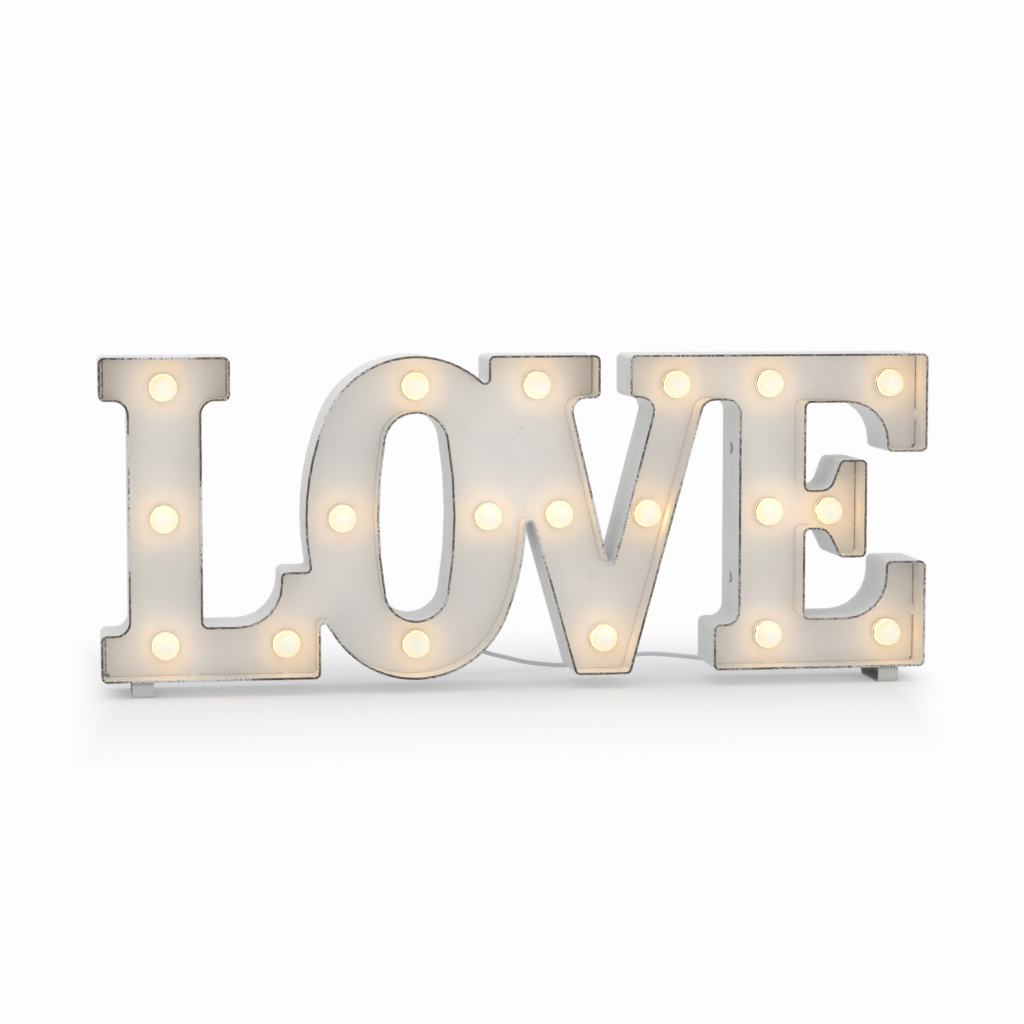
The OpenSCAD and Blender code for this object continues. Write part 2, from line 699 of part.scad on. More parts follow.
// The spare lead is wound in four layers that spiral in and out
coil_c = [190, 109];
coil_layers = 4;
coil_start = 222;
coil_turn = 9 * 360 + 48;
coil_pitch = 3.8;
coil_out_r = 22.9;
coil_lift = 1;
coil_base_z = coil_lift + cord_r;
coil_rings = 24;
layer_turn = coil_turn / coil_layers;
function coil_layer(a) = min(floor(a / layer_turn), coil_layers - 1);
function coil_r(a) =
    let (k = coil_layer(a), in_layer = a - k * layer_turn, shrink = coil_pitch * in_layer / 360)
    k % 2 == 0 ? coil_out_r - shrink : coil_out_r - coil_pitch * layer_turn / 360 + shrink;
function eased(t) = let (s = min(max(t, 0), 1)) s * s * (3 - 2 * s);
function coil_z(a) =
    coil_base_z + coil_pitch * [for (k = [1 : coil_layers - 1]) eased((a - k * layer_turn + 90) / 180)]
        * [for (k = [1 : coil_layers - 1]) 1];
function coil_at(a) =
    let (flat = on_circle(coil_c, coil_r(a), coil_start + a)) [flat[0], flat[1], coil_z(a)];
coil_steps = ceil(coil_turn / 360 * coil_rings);
COIL = concat(
    [RUN[len(RUN) - 1], RUN[len(RUN) - 1] + cord_d * unit(RUN[len(RUN) - 1] - RUN[len(RUN) - 2])],
    [for (k = [0 : coil_steps]) coil_at(coil_turn * k / coil_steps)],
    [TAIL[0] - cord_d * unit(TAIL[1] - TAIL[0]), TAIL[0]]
);
function coil_gap() =
    min([for (i = [0 : len(COIL) - 1])
        for (j = [i + coil_rings / 2 : 1 : len(COIL) - 1])
            norm(COIL[i] - COIL[j])]) - cord_d;
function path_len(path, i = 1) =
    i >= len(path) ? 0 : norm(path[i] - path[i - 1]) + path_len(path, i + 1);
echo(coil_gap = coil_gap());
echo(lead_to_switch = path_len(smooth(RUN, 2)) + path_len(COIL) + path_len(smooth(TAIL, 2)));
echo(lead_to_plug = path_len(smooth(END, 2)));

// Tie round the coil
tie_turn = 60;
tie_w = 8;
tie_t = 0.8;
tie_slack = 0.4;
tie_round = 3;
coil_in_r = coil_out_r - coil_pitch * layer_turn / 360;
tie_in = sqrt(pow(coil_in_r - cord_r, 2) - pow(tie_w / 2, 2)) - tie_slack;
tie_out = coil_out_r + cord_r + tie_slack;
tie_top = coil_base_z + coil_pitch * (coil_layers - 1) + cord_r + tie_slack;

// Sizes of the switch and the plug
switch_round = 7;
SWITCH = rounded_box(switch_l, switch_w, switch_round);
nub_wall = 1.4;
nub_root = 2;
pivot_gap = 0.1;
pivot_z = switch_h - switch_wall - trunnion_d / 2 - trunnion_fit - pivot_gap;
rocker_rise = 4.2;
rocker_dip = 2.9;
rocker_gap = 0.4;
window_l = rocker_l * cos(rocker_tilt) + 2 * rocker_rise * sin(rocker_tilt) + 2 * rocker_gap;
window_w = rocker_w + 2 * rocker_gap;
ear_t = 1.2;
ear_gap = 0.3;
ear_in = window_w / 2 + ear_gap;
ear_wall = 1.2;
ear_l = trunnion_d + 2 * (trunnion_fit + ear_wall);
ear_drop = trunnion_d / 2 + trunnion_fit + ear_wall;
trunnion_end = 0.1;
rocker_keel = 2.2;
rocker_keel_l = 6;
rocker_side = 0.6;
shell_l = 18;
shell_w = 12;
shell_h = 4.5;
shell_t = 0.35;
shell_window = 2.2;
tongue_h = 1.9;
tongue_in = 1.2;
tongue_fit = 0.1;
plug_round = 3;
relief_wall = 1.8;
relief_tip = 0.6;

// Places and directions
module on_sign() { translate([-sign_w / 2, 0, foot_h]) children(); }
module plate(y, t) { translate([0, y + t, 0]) rotate([90, 0, 0]) linear_extrude(t) children(); }
module at_wall(x, z, turn) { on_sign() translate([x, 0, z]) rotate([0, -turn, 0]) children(); }
module at_bulb(p) { on_sign() translate([p[0], panel_y, p[1]]) rotate([90, 0, 0]) children(); }
module backwards(x, y, z) { translate([x, y, z]) rotate([-90, 0, 0]) children(); }
module along_x(x, y, z) { translate([x, y, z]) rotate([0, 90, 0]) children(); }

module tube(path, r, sides) {
    n = len(path);
    points = [for (i = [0 : n - 1]) each ring(path, i, r, sides)];
    walls = [for (i = [0 : n - 2])
        for (k = [0 : sides - 1])
            let (a = i * sides + k, b = i * sides + (k + 1) % sides)
            each [[a, a + sides, b + sides], [a, b + sides, b]]];
    caps = [[for (k = [0 : sides - 1]) k], [for (k = [sides - 1 : -1 : 0]) (n - 1) * sides + k]];
    polyhedron(points, concat(walls, caps));
}

// Side bands
module strip_shape(k, t) { polygon(concat(strip_edge(k, 0), reversed(strip_edge(k, t)))); }
module half_disc(r, x0, x1) {
    intersection() {
        along_x(x0, panel_y, 0) cylinder(r = r, h = x1 - x0);
        translate([x0 - r, panel_y - 2 * r, -2 * r]) cube([x1 - x0 + 2 * r, 2 * r, 4 * r]);
    }
}
module rivet_places(x) {
    for (k = [0, 1]) translate([x, panel_back_y + rivet_in + k * rivet_span, 0]) children();
}

module band_strip(k) {
    name = STRIPS[k][0];
    color("gainsboro")
    difference() {
        union() {
            on_sign() plate(front_y, hem_d) strip_shape(k, rim_t);
            on_sign() plate(front_y + hem_d, depth - hem_d) strip_shape(k, sheet_t);
            for (s = STOPS) if (s[0] == name) at_wall(s[1], s[2], s[3])
                half_disc(stop_r, sheet_t / 2, sheet_t + stop_rise);
        }
        for (s = STOPS) if (s[0] == name) at_wall(s[1], s[2], s[3])
            half_disc(stop_r - stop_wall, -stop_rise, stop_rise);
        if (name == "band_l_lower") rivet_holes(foot_left_x);
        if (name == "band_e_lower") rivet_holes(foot_right_x);
    }
}
module rivet_holes(x) {
    rivet_places(x) translate([0, 0, foot_h - 2 * foot_t])
        cylinder(d = rivet_d + 2 * rivet_fit, h = 3 * foot_t + sheet_t);
}
module counter_shape(grow) { polygon(oval(counter_c, counter_w, counter_h, counter_end_r, grow)); }
module counter_ring(t) {
    difference() {
        counter_shape(t);
        counter_shape(0);
    }
}
module counter_band() {
    color("gainsboro") on_sign() {
        plate(front_y, hem_d) counter_ring(rim_t);
        plate(front_y + hem_d, depth - hem_d) counter_ring(sheet_t);
    }
}

// Plates
module letter_plate(y) {
    on_sign() plate(y, plate_t) difference() {
        polygon(outline(LETTERS, sheet_t + edge_gap));
        counter_shape(sheet_t + edge_gap);
    }
}
module face_panel() {
    color("antiquewhite")
    difference() {
        letter_plate(panel_y);
        for (p = ALL_BULBS) at_bulb(p) translate([0, 0, -2 * plate_t])
            cylinder(d = barrel_d + 2 * bulb_fit, h = 3 * plate_t);
    }
}
module keyhole() {
    cylinder(d = hang_d, h = 3 * plate_t);
    translate([0, -hang_rise, 0]) cylinder(d = hang_slot_w, h = 3 * plate_t);
    translate([-hang_slot_w / 2, -hang_rise, 0]) cube([hang_slot_w, hang_rise, 3 * plate_t]);
}
module back_cover() {
    color("silver")
    difference() {
        letter_plate(cover_in_y);
        for (b = BRACKETS) at_wall(b[0], b[1], b[2]) backwards(screw_at, cover_in_y - plate_t, 0)
            cylinder(d = screw_d + 2 * screw_clear, h = 3 * plate_t);
        for (side = [-1, 1])
            backwards(side * (sign_w / 2 - hang_inset), cover_in_y - plate_t, foot_h + letter_h - hang_drop)
                keyhole();
        on_sign() backwards(gland_x, cover_in_y - plate_t, gland_z)
            cylinder(d = gland_neck_d + 2 * bulb_fit, h = 3 * plate_t);
    }
}

// Cover brackets and screws
module cover_brackets() {
    color("lightgrey") for (b = BRACKETS) at_wall(b[0], b[1], b[2]) difference() {
        union() {
            translate([sheet_t, panel_back_y, -bracket_w / 2])
                cube([bracket_t, cover_in_y - panel_back_y, bracket_w]);
            translate([sheet_t, cover_in_y - bracket_t, -bracket_w / 2])
                cube([bracket_reach, bracket_t, bracket_w]);
        }
        backwards(screw_at, cover_in_y - 2 * bracket_t, 0)
            cylinder(d = screw_d + 2 * screw_fit, h = 3 * bracket_t);
    }
}
module cover_screws() {
    color("darkgrey") for (b = BRACKETS) at_wall(b[0], b[1], b[2]) {
        backwards(screw_at, cover_out_y - screw_l, 0) cylinder(d = screw_d, h = screw_l);
        backwards(screw_at, cover_out_y, 0) difference() {
            cylinder(d = screw_head_d, h = screw_head_h);
            for (a = [0, 90]) rotate([0, 0, a])
                translate([-screw_head_d / 3, -cross_w / 2, screw_head_h - cross_d])
                    cube([screw_head_d / 1.5, cross_w, 2 * cross_d]);
        }
    }
}

// Feet
// A strip is bent into a loop, and its ends meet in a seam under the sign.
module foot(x) {
    loop = rounded_box(foot_l, foot_h, foot_r);
    color("lightgrey")
    difference() {
        translate([x - foot_w / 2, front_y + foot_front + foot_l / 2, foot_h / 2]) rotate([90, 0, 90])
            linear_extrude(foot_w) difference() {
                polygon(outline(loop));
                polygon(outline(loop, foot_t));
                translate([-foot_seam / 2, 0]) square([foot_seam, foot_h]);
            }
        rivet_holes(x);
    }
}
module foot_rivets() {
    color("darkgrey") for (x = [foot_left_x, foot_right_x]) rivet_places(x) {
        translate([0, 0, foot_h - foot_t - rivet_head_h]) cylinder(d = rivet_head_d, h = rivet_head_h);
        translate([0, 0, foot_h - foot_t]) cylinder(d = rivet_d, h = foot_t + sheet_t);
        translate([0, 0, foot_h + sheet_t]) cylinder(d = rivet_tail_d, h = rivet_head_h);
    }
}

// Bulbs
module globe(p) {
    color("lightyellow") at_bulb(p) difference() {
        union() {
            translate([0, 0, globe_z]) sphere(r = globe_r);
            translate([0, 0, neck_z]) cylinder(r = neck_r, h = globe_z - neck_z);
        }
        translate([0, 0, globe_z]) sphere(r = globe_r - globe_wall);
        translate([0, 0, neck_z - globe_wall])
            cylinder(r = neck_r - globe_wall, h = globe_z - neck_z + globe_wall);
    }
}
module holder(p) {
    bore_r = led_d / 2 + bulb_fit;
    seat_r = neck_r + bulb_fit;
    barrel_r = barrel_d / 2;
    snap_r = barrel_r + bulb_fit + snap_out;
    seat_z = collar_h - neck_seat_d;
    color("oldlace") at_bulb(p) difference() {
        rotate_extrude() polygon([
            [lead_hole_r, barrel_z], [barrel_r, barrel_z], [barrel_r, -plate_t - snap_gap - snap_l],
            [snap_r, -plate_t - snap_gap], [barrel_r, -plate_t - snap_gap], [barrel_r, 0],
            [collar_d / 2, 0], [collar_d / 2, collar_h - collar_edge],
            [collar_d / 2 - collar_edge, collar_h],
            [seat_r, collar_h], [seat_r, seat_z], [bore_r, seat_z], [bore_r, led_seat_z],
            [lead_hole_r, led_seat_z]
        ]);
        for (k = [0 : slot_count - 1]) rotate([0, 0, 360 * k / slot_count])
            translate([neck_r, -slot_w / 2, collar_h - slot_d])
                cube([(collar_d / 2 - collar_edge - neck_r) * slot_share, slot_w, 2 * slot_d]);
    }
}
module led(p) {
    color("khaki") at_bulb(p) {
        translate([0, 0, led_seat_z + seat_gap]) cylinder(d = led_d, h = led_l - led_d / 2);
        translate([0, 0, led_seat_z + seat_gap + led_l - led_d / 2]) sphere(d = led_d);
        translate([0, 0, barrel_z + led_wire_gap])
            cylinder(r = lead_hole_r - led_wire_gap, h = led_seat_z - barrel_z);
    }
}
module wire(a, b) {
    way = unit(b - a);
    translate([a[0], wire_y, a[1]]) rotate([0, 90 - atan2(way[1], way[0]), 0])
        cylinder(r = wire_r, h = norm(b - a), $fn = wire_sides);
}
module wire_bead(p, h) {
    backwards(p[0], wire_y - bead_r, p[1]) cylinder(r = bead_r, h = h, $fn = wire_sides);
}
module wiring() {
    color("whitesmoke") on_sign() {
        for (w = WIRES) wire(BEADS[w[0]], BEADS[w[1]]);
        for (p = concat(ALL_BULBS, BENDS)) wire_bead(p, 2 * bead_r);
        wire_bead(gland_at, cover_in_y - gland_nut_h - wire_y + bead_r);
    }
}

// Gland and lead
module cord_gland() {
    rib = gland_l / gland_ribs;
    function rib_r(k) = (gland_neck_d + (gland_tip_d - gland_neck_d) * k / gland_ribs) / 2;
    color("lightsteelblue") on_sign() backwards(gland_x, cover_in_y, gland_z) {
        translate([0, 0, -gland_nut_h]) cylinder(d = gland_nut_d, h = gland_nut_h);
        cylinder(d = gland_neck_d, h = plate_t);
        translate([0, 0, plate_t]) cylinder(d = gland_nut_d, h = gland_flange_h);
        translate([0, 0, plate_t + gland_flange_h])
            cylinder(r = rib_r(gland_ribs) - gland_step, h = gland_l);
        for (k = [0 : gland_ribs - 1]) translate([0, 0, plate_t + gland_flange_h + rib * k])
            cylinder(r1 = rib_r(k), r2 = rib_r(k + 1), h = k == gland_ribs - 1 ? rib : rib * gland_rib_share);
    }
}
module cord_run() { color("lavender") tube(smooth(RUN, 2), cord_r, cord_sides); }
module cord_coil() { color("lavender") tube(COIL, cord_r, coil_sides); }
module cord_tail() { color("lavender") tube(smooth(TAIL, 2), cord_r, cord_sides); }
module cord_end() { color("lavender") tube(smooth(END, 2), cord_r, cord_sides); }
module cord_tie() {
    middle = (tie_in + tie_out) / 2;
    outer = rounded_box(tie_out - tie_in + 2 * tie_t, tie_top + tie_t, tie_round);
    color("dimgrey") translate([coil_c[0], coil_c[1], 0]) rotate([0, 0, tie_turn])
        translate([middle, tie_w / 2, (tie_top + tie_t) / 2]) rotate([90, 0, 0]) linear_extrude(tie_w)
            difference() {
                polygon(outline(outer));
                polygon(outline(outer, tie_t));
            }
}

// Inline switch
module on_switch() { translate([switch_x, switch_y, 0]) children(); }
module switch_nubs(z0, z1) {
    nub_r = cord_r + nub_wall;
    intersection() {
        for (side = [-1, 1])
            along_x(side > 0 ? switch_l / 2 - nub_root : -switch_end, 0, switch_part_z)
                cylinder(r = nub_r, h = switch_nub + nub_root);
        translate([-switch_end, -switch_w / 2, z0]) cube([2 * switch_end, switch_w, z1 - z0]);
    }
}
module switch_block(inset, z0, z1) {
    translate([0, 0, z0]) linear_extrude(z1 - z0) polygon(outline(SWITCH, inset));
}
module switch_base() {
    color("whitesmoke") on_switch() difference() {
        union() {
            switch_block(0, 0, switch_part_z);
            switch_nubs(0, switch_part_z);
        }
        switch_block(switch_wall, switch_wall, switch_part_z + switch_wall);
    }
}
module switch_cover() {
    color("whitesmoke") on_switch() {
        difference() {
            union() {
                switch_block(0, switch_part_z, switch_h);
                switch_nubs(switch_part_z, switch_h);
            }
            switch_block(switch_wall, switch_part_z - switch_wall, switch_h - switch_wall);
            translate([-window_l / 2, -window_w / 2, switch_h - 2 * switch_wall])
                cube([window_l, window_w, 3 * switch_wall]);
        }
        for (side = [-1, 1]) difference() {
            translate([-ear_l / 2, side * (ear_in + ear_t / 2) - ear_t / 2, pivot_z - ear_drop])
                cube([ear_l, ear_t, switch_h - switch_wall - pivot_z + ear_drop]);
            backwards(0, -switch_w / 2, pivot_z) cylinder(r = trunnion_d / 2 + trunnion_fit, h = switch_w);
        }
    }
}
module switch_rocker() {
    half = rocker_l / 2;
    reach = ear_in + ear_t - trunnion_end;
    color("white") on_switch() translate([0, 0, pivot_z]) rotate([0, rocker_tilt, 0]) {
        translate([0, rocker_w / 2, 0]) rotate([90, 0, 0]) linear_extrude(rocker_w) polygon([
            [-half, rocker_rise], [-half, rocker_side], [-rocker_keel_l / 2, -rocker_keel],
            [rocker_keel_l / 2, -rocker_keel], [half, rocker_side], [half, rocker_rise], [0, rocker_dip]
        ]);
        backwards(0, -reach, 0) cylinder(d = trunnion_d, h = 2 * reach);
    }
}

// Plug
module plug_grip() {
    color("whitesmoke") translate([plug_x - plug_relief_l, plug_y, 0]) {
        translate([-plug_l / 2, 0, 0]) linear_extrude(plug_h)
            polygon(outline(rounded_box(plug_l, plug_w, plug_round)));
        along_x(0, 0, plug_h / 2)
            cylinder(r1 = cord_r + relief_wall, r2 = cord_r + relief_tip, h = plug_relief_l);
    }
}
module on_shell(inset, from, to) {
    translate([shell_x - to, plug_y - shell_w / 2 + inset, plug_h / 2 - shell_h / 2 + inset])
        cube([to - from, shell_w - 2 * inset, shell_h - 2 * inset]);
}
module plug_shell() {
    color("silver") difference() {
        on_shell(0, 0, shell_l);
        on_shell(shell_t, -shell_t, shell_l + shell_t);
        for (side = [-1, 1])
            translate([shell_x - shell_l / 2, plug_y + side * shell_w / 4, plug_h / 2])
                cube([shell_window, shell_window, plug_h], center = true);
    }
}
module plug_tongue() {
    inside_w = shell_w - 2 * shell_t;
    inside_top = plug_h / 2 + shell_h / 2 - shell_t;
    color("white")
        translate([shell_x - shell_l + tongue_in, plug_y - inside_w / 2 + tongue_fit,
            inside_top - tongue_fit - tongue_h])
            cube([shell_l - tongue_in, inside_w - 2 * tongue_fit, tongue_h]);
}

for (k = [0 : len(STRIPS) - 1]) band_strip(k);
counter_band();
face_panel();
back_cover();
cover_brackets();
cover_screws();
foot(foot_left_x);  // foot_left
foot(foot_right_x);  // foot_right
foot_rivets();
for (group = BULBS) for (i = [0 : len(group[1]) - 1])
    globe(group[1][i]);
for (group = BULBS) for (p = group[1]) holder(p);
for (p = ALL_BULBS) led(p);  // leds
wiring();
cord_gland();
cord_run();
cord_coil();
cord_tie();
cord_tail();
switch_base();
switch_cover();
switch_rocker();
cord_end();
plug_grip();
plug_shell();
plug_tongue();
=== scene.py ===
"""Looks of a lighted marquee sign: worn white paint, glowing frosted globes, pale lead, white studio."""

import json
import math

import bpy
from mathutils import Matrix, Vector


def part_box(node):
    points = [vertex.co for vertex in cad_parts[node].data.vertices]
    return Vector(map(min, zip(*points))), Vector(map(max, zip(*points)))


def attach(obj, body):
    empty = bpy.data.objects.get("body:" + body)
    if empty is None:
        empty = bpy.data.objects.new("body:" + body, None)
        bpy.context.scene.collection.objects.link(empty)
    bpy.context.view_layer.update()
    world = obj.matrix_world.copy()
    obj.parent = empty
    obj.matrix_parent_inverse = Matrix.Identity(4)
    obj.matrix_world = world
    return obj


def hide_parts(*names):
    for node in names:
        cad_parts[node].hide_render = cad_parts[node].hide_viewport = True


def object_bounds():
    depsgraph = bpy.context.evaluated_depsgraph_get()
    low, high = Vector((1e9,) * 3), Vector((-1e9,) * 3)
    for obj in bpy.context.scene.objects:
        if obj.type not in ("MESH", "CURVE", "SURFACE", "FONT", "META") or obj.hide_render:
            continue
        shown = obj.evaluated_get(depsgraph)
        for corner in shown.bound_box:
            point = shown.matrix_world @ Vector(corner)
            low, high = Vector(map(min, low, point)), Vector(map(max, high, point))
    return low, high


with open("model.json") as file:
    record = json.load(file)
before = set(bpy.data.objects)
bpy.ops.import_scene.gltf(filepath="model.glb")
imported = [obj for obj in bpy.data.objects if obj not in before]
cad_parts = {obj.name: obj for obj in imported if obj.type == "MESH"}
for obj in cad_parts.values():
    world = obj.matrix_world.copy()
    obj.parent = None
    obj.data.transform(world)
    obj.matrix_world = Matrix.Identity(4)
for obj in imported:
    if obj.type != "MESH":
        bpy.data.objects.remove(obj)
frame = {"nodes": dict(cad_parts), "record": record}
cad_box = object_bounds()
nodes = frame["nodes"]

# Places taken from the frame, in metres
MM = 0.001
rim_low, rim_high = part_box("band_l_upper")
FRONT_Y = rim_low.y
BACK_Y = rim_high.y
PANEL_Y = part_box("face_panel")[0].y
BANDS = [name for name in nodes if name.startswith("band_")] + ["counter_band"]
GLOBES = [name for name in nodes if name.startswith("globe_")]
HOLDERS = [name for name in nodes if name.startswith("holders_")]

# Camera at the photograph's viewpoint
CAMERA_AT = Vector((-0.32039, -2.09183, 0.31930))
CAMERA_YAW = 0.15055
CAMERA_DOWN = 0.09065
CAMERA_ROLL = 0.0003
CAMERA_LENS = 102.87
SENSOR_WIDTH = 36


def make_camera():
    data = bpy.data.cameras.new("camera")
    data.lens = CAMERA_LENS
    data.sensor_width = SENSOR_WIDTH
    camera = bpy.data.objects.new("camera", data)
    turn = Matrix.Rotation(-CAMERA_YAW, 4, "Z")
    tilt = Matrix.Rotation(math.pi / 2 - CAMERA_DOWN, 4, "X")
    roll = Matrix.Rotation(CAMERA_ROLL, 4, "Z")
    camera.matrix_world = Matrix.Translation(CAMERA_AT) @ turn @ tilt @ roll
    bpy.context.scene.collection.objects.link(camera)
    bpy.context.scene.camera = camera


# Shader helpers
def add(tree, kind, inputs=None, **settings):
    """Adds a node, sets its properties, and fills its inputs with values or other nodes' outputs."""
    node = tree.nodes.new(kind)
    for key, value in settings.items():
        setattr(node, key, value)
    for key, value in (inputs or {}).items():
        if isinstance(value, bpy.types.NodeSocket):
            tree.links.new(value, node.inputs[key])
        else:
            node.inputs[key].default_value = value
    return node


def material(name, color, roughness, **sockets):
    """A new principled material with constant sockets, its tree and its shader."""
    made = bpy.data.materials.new(name)
    made.use_nodes = True
    shader = made.node_tree.nodes["Principled BSDF"]
    shader.inputs["Base Color"].default_value = (*color, 1)
    shader.inputs["Roughness"].default_value = roughness
    for key, value in sockets.items():
        shader.inputs[key.replace("_", " ")].default_value = value
    return made, made.node_tree, shader


def place(tree):
    """Coordinates in the object's own frame, in metres."""
    return add(tree, "ShaderNodeTexCoord").outputs["Object"]


def noise(tree, where, scale, detail):
    return add(tree, "ShaderNodeTexNoise", {"Vector": where, "Scale": scale, "Detail": detail}).outputs["Fac"]


def stretched(tree, where, scale):
    return add(tree, "ShaderNodeMapping", {"Vector": where, "Scale": scale}).outputs["Vector"]


def calc(tree, operation, a, b=0.0):
    return add(tree, "ShaderNodeMath", {0: a, 1: b}, operation=operation).outputs[0]


def ramp(tree, value, low, high, to_low=0.0, to_high=1.0):
    """A clamped smooth step from low to high."""
    inputs = {"Value": value, "From Min": low, "From Max": high, "To Min": to_low, "To Max": to_high}
    return add(tree, "ShaderNodeMapRange", inputs, interpolation_type="SMOOTHSTEP").outputs["Result"]


def between(tree, value, start, low, high, stop):
    """1 from low to high, falling smoothly to 0 at start and at stop."""
    rise = ramp(tree, value, start, low)
    return calc(tree, "MULTIPLY", rise, ramp(tree, value, high, stop, 1, 0))


def distance(tree, where, point):
    return add(tree, "ShaderNodeVectorMath", {0: where, 1: point}, operation="DISTANCE").outputs["Value"]


def near_point(tree, where, point, reach, amount):
    """An amount that falls to nothing at the reach from a point."""
    return ramp(tree, distance(tree, where, point), 0.55 * reach, reach, amount, 0)


def mix(tree, amount, a, b):
    """A colour mixed from a to b. Plain colours are tuples of three."""
    node = add(tree, "ShaderNodeMix", data_type="RGBA")
    for socket, value in ((node.inputs[0], amount), (node.inputs[6], a), (node.inputs[7], b)):
        if isinstance(value, bpy.types.NodeSocket):
            tree.links.new(value, socket)
        elif isinstance(value, tuple):
            socket.default_value = (*value, 1)
        else:
            socket.default_value = value
    return node.outputs[2]


def axis_of(tree, where, axis):
    return add(tree, "ShaderNodeSeparateXYZ", {0: where}).outputs[axis]


def facing_x(tree):
    """How far the surface faces along X, from -1 to 1."""
    return axis_of(tree, add(tree, "ShaderNodeNewGeometry").outputs["Normal"], "X")


def bump(tree, shader, height, depth, strength):
    node = add(tree, "ShaderNodeBump", {"Height": height, "Distance": depth, "Strength": strength})
    tree.links.new(node.outputs[0], shader.inputs["Normal"])


def paint_socket(tree, shader, key, value):
    tree.links.new(value, shader.inputs[key])


# Colours of the paint and of what shows or lies on it
PAINT = (0.79, 0.785, 0.765)
PAINT_COOL = (0.745, 0.75, 0.745)
WORN = (0.12, 0.082, 0.055)
# The next colour is the dark of the worn-through rim, and also painted shade at the pressed stops
WORN_DARK_AND_SHADE = (0.05, 0.034, 0.024)
STAIN = (0.36, 0.325, 0.28)
# The next colour is painted shade for the panel's gaps and corners, and also the colour of its scuffs
SHADE_AND_SCUFF = (0.10, 0.068, 0.045)
# The next colour is painted shade toward the panel's dimly lit ends
END_SHADE_TONE = (0.52, 0.44, 0.35)

# Noise scales of the surfaces, larger for a finer grain
CLOUD_GRAIN = 22
SPECK_GRAIN = 900
PEEL_GRAIN = 650
RAGGED_GRAIN = 500
PATCH_GRAIN = 24
DOT_GRAIN = 800
RUST_GRAIN = 1400
LINE_SHADE_GRAIN = 420
STREAK_GRAIN = 1300
METAL_GRAIN = 300
FROST_GRAIN = 1800
GAP_SHADE_GRAIN = 130
HOLDER_GRAIN = 300
PLASTIC_GRAIN = 1200
PLASTIC_CLOUDS = 60
LED_GRAIN = 400
WEAVE_GRAIN = 900

# Depths of the fine bumps
PEEL_DEPTH = 0.12 * MM
FROST_DEPTH = 0.04 * MM
PLASTIC_DEPTH = 0.06 * MM
WEAVE_DEPTH = 0.15 * MM

# Stretches of the rim that are rubbed more or less than the rest: x, z and reach in millimetres, and amount
RUBBED = [
    (-292, 240, 22, 0.07), (-257, 242, 38, -0.16), (-218, 241, 20, 0.08), (-228, 182, 34, 0.09),
    (-228, 124, 38, -0.14), (-280, 140, 66, -0.14), (-281, 68, 30, 0.05), (-258, 11, 34, -0.16),
    (-218, 11, 30, -0.16), (-166, 11, 26, 0.08), (-152, 205, 34, -0.13), (-154, 150, 46, 0.09),
    (-40, 40, 44, -0.06), (-74, 9, 34, 0.09), (290, 12, 60, -0.12), (-103, 138, 44, -0.10),
    (-1, 97, 36, -0.14), (123, 167, 36, -0.12), (53, 123, 22, -0.14), (64, 92, 16, -0.12),
    (79, 132, 34, -0.08), (38, 210, 12, -0.12), (-144, 51, 12, -0.10),
]


def mottled(tree, where, light, dark):
    """Paint with broad cloudy tone changes and fine specks."""
    cloud = noise(tree, where, CLOUD_GRAIN, 3)
    speck = noise(tree, where, SPECK_GRAIN, 2)
    tone = mix(tree, ramp(tree, cloud, 0.3, 0.7), light, dark)
    return mix(tree, ramp(tree, speck, 0.62, 0.8, 0, 0.12), tone, tuple(0.6 * c for c in dark))


def orange_peel(tree, shader, where):
    bump(tree, shader, noise(tree, where, PEEL_GRAIN, 3), PEEL_DEPTH, 0.25)


# Half-moon stops pressed into the stem of the E: the stem's side, the heights and radius of the pockets, the
# ring of painted shadow along their curved edge, and the share by which depth counts for the ring, which
# draws it out
STEM_X = 159.4 * MM
STEM_NEAR = 1.8 * MM
STOP_HEIGHTS = (172.15 * MM, 76.75 * MM)
STOP_R = 4.1 * MM
STOP_SOFT = 0.3 * MM
RING_START = STOP_R - 1.3 * MM
RING_FULL = STOP_R - 0.9 * MM
RING_DEPTH = 0.5


def stop_painted_shade(tree, where):
    """Painted shade in the pressed pockets of the stops, and a painted shadow round their curved edges."""
    from_stem = calc(tree, "SUBTRACT", axis_of(tree, where, "X"), STEM_X)
    deep = ramp(tree, from_stem, 0.05 * MM, 0.2 * MM)
    ahead = ramp(tree, axis_of(tree, where, "Y"), PANEL_Y - 0.6 * MM, PANEL_Y, 1, 0)
    on_stem = ramp(tree, calc(tree, "ABSOLUTE", from_stem), STEM_NEAR, STEM_NEAR + 0.2 * MM, 1, 0)
    outside = ramp(tree, facing_x(tree), 0.1, 0.4, 1, 0)
    flat = stretched(tree, where, (0.0, RING_DEPTH, 1.0))
    painted_shade = 0.0
    for height in STOP_HEIGHTS:
        away = distance(tree, where, (STEM_X, PANEL_Y, height))
        # Painted shade in the pressed pocket
        pocket = calc(tree, "MULTIPLY", ramp(tree, away, STOP_R, STOP_R + STOP_SOFT, 0.3, 0), deep)
        # Painted shadow along the curved cut edge, drawn out in depth
        ring = distance(tree, flat, (0.0, RING_DEPTH * PANEL_Y, height))
        edge = between(tree, ring, RING_START, RING_FULL, STOP_R, STOP_R + STOP_SOFT)
        edge = calc(tree, "MULTIPLY", edge, ahead)
        painted_shade = calc(tree, "MAXIMUM", painted_shade, calc(tree, "MAXIMUM", pocket, edge))
    return calc(tree, "MULTIPLY", calc(tree, "MULTIPLY", painted_shade, on_stem), outside)


# Wear of the front rim: how deep it reaches, how ragged it ends, the noise over which the paint is gone, and
# the stain of the paint that is left
WEAR_FULL = 0.85 * MM
WEAR_END = 1.35 * MM
RAGGED = 0.4 * MM
WORN_FROM = 0.42
WORN_TO = 0.5
STAIN_LEAST = 0.3
STAIN_MOST = 0.6


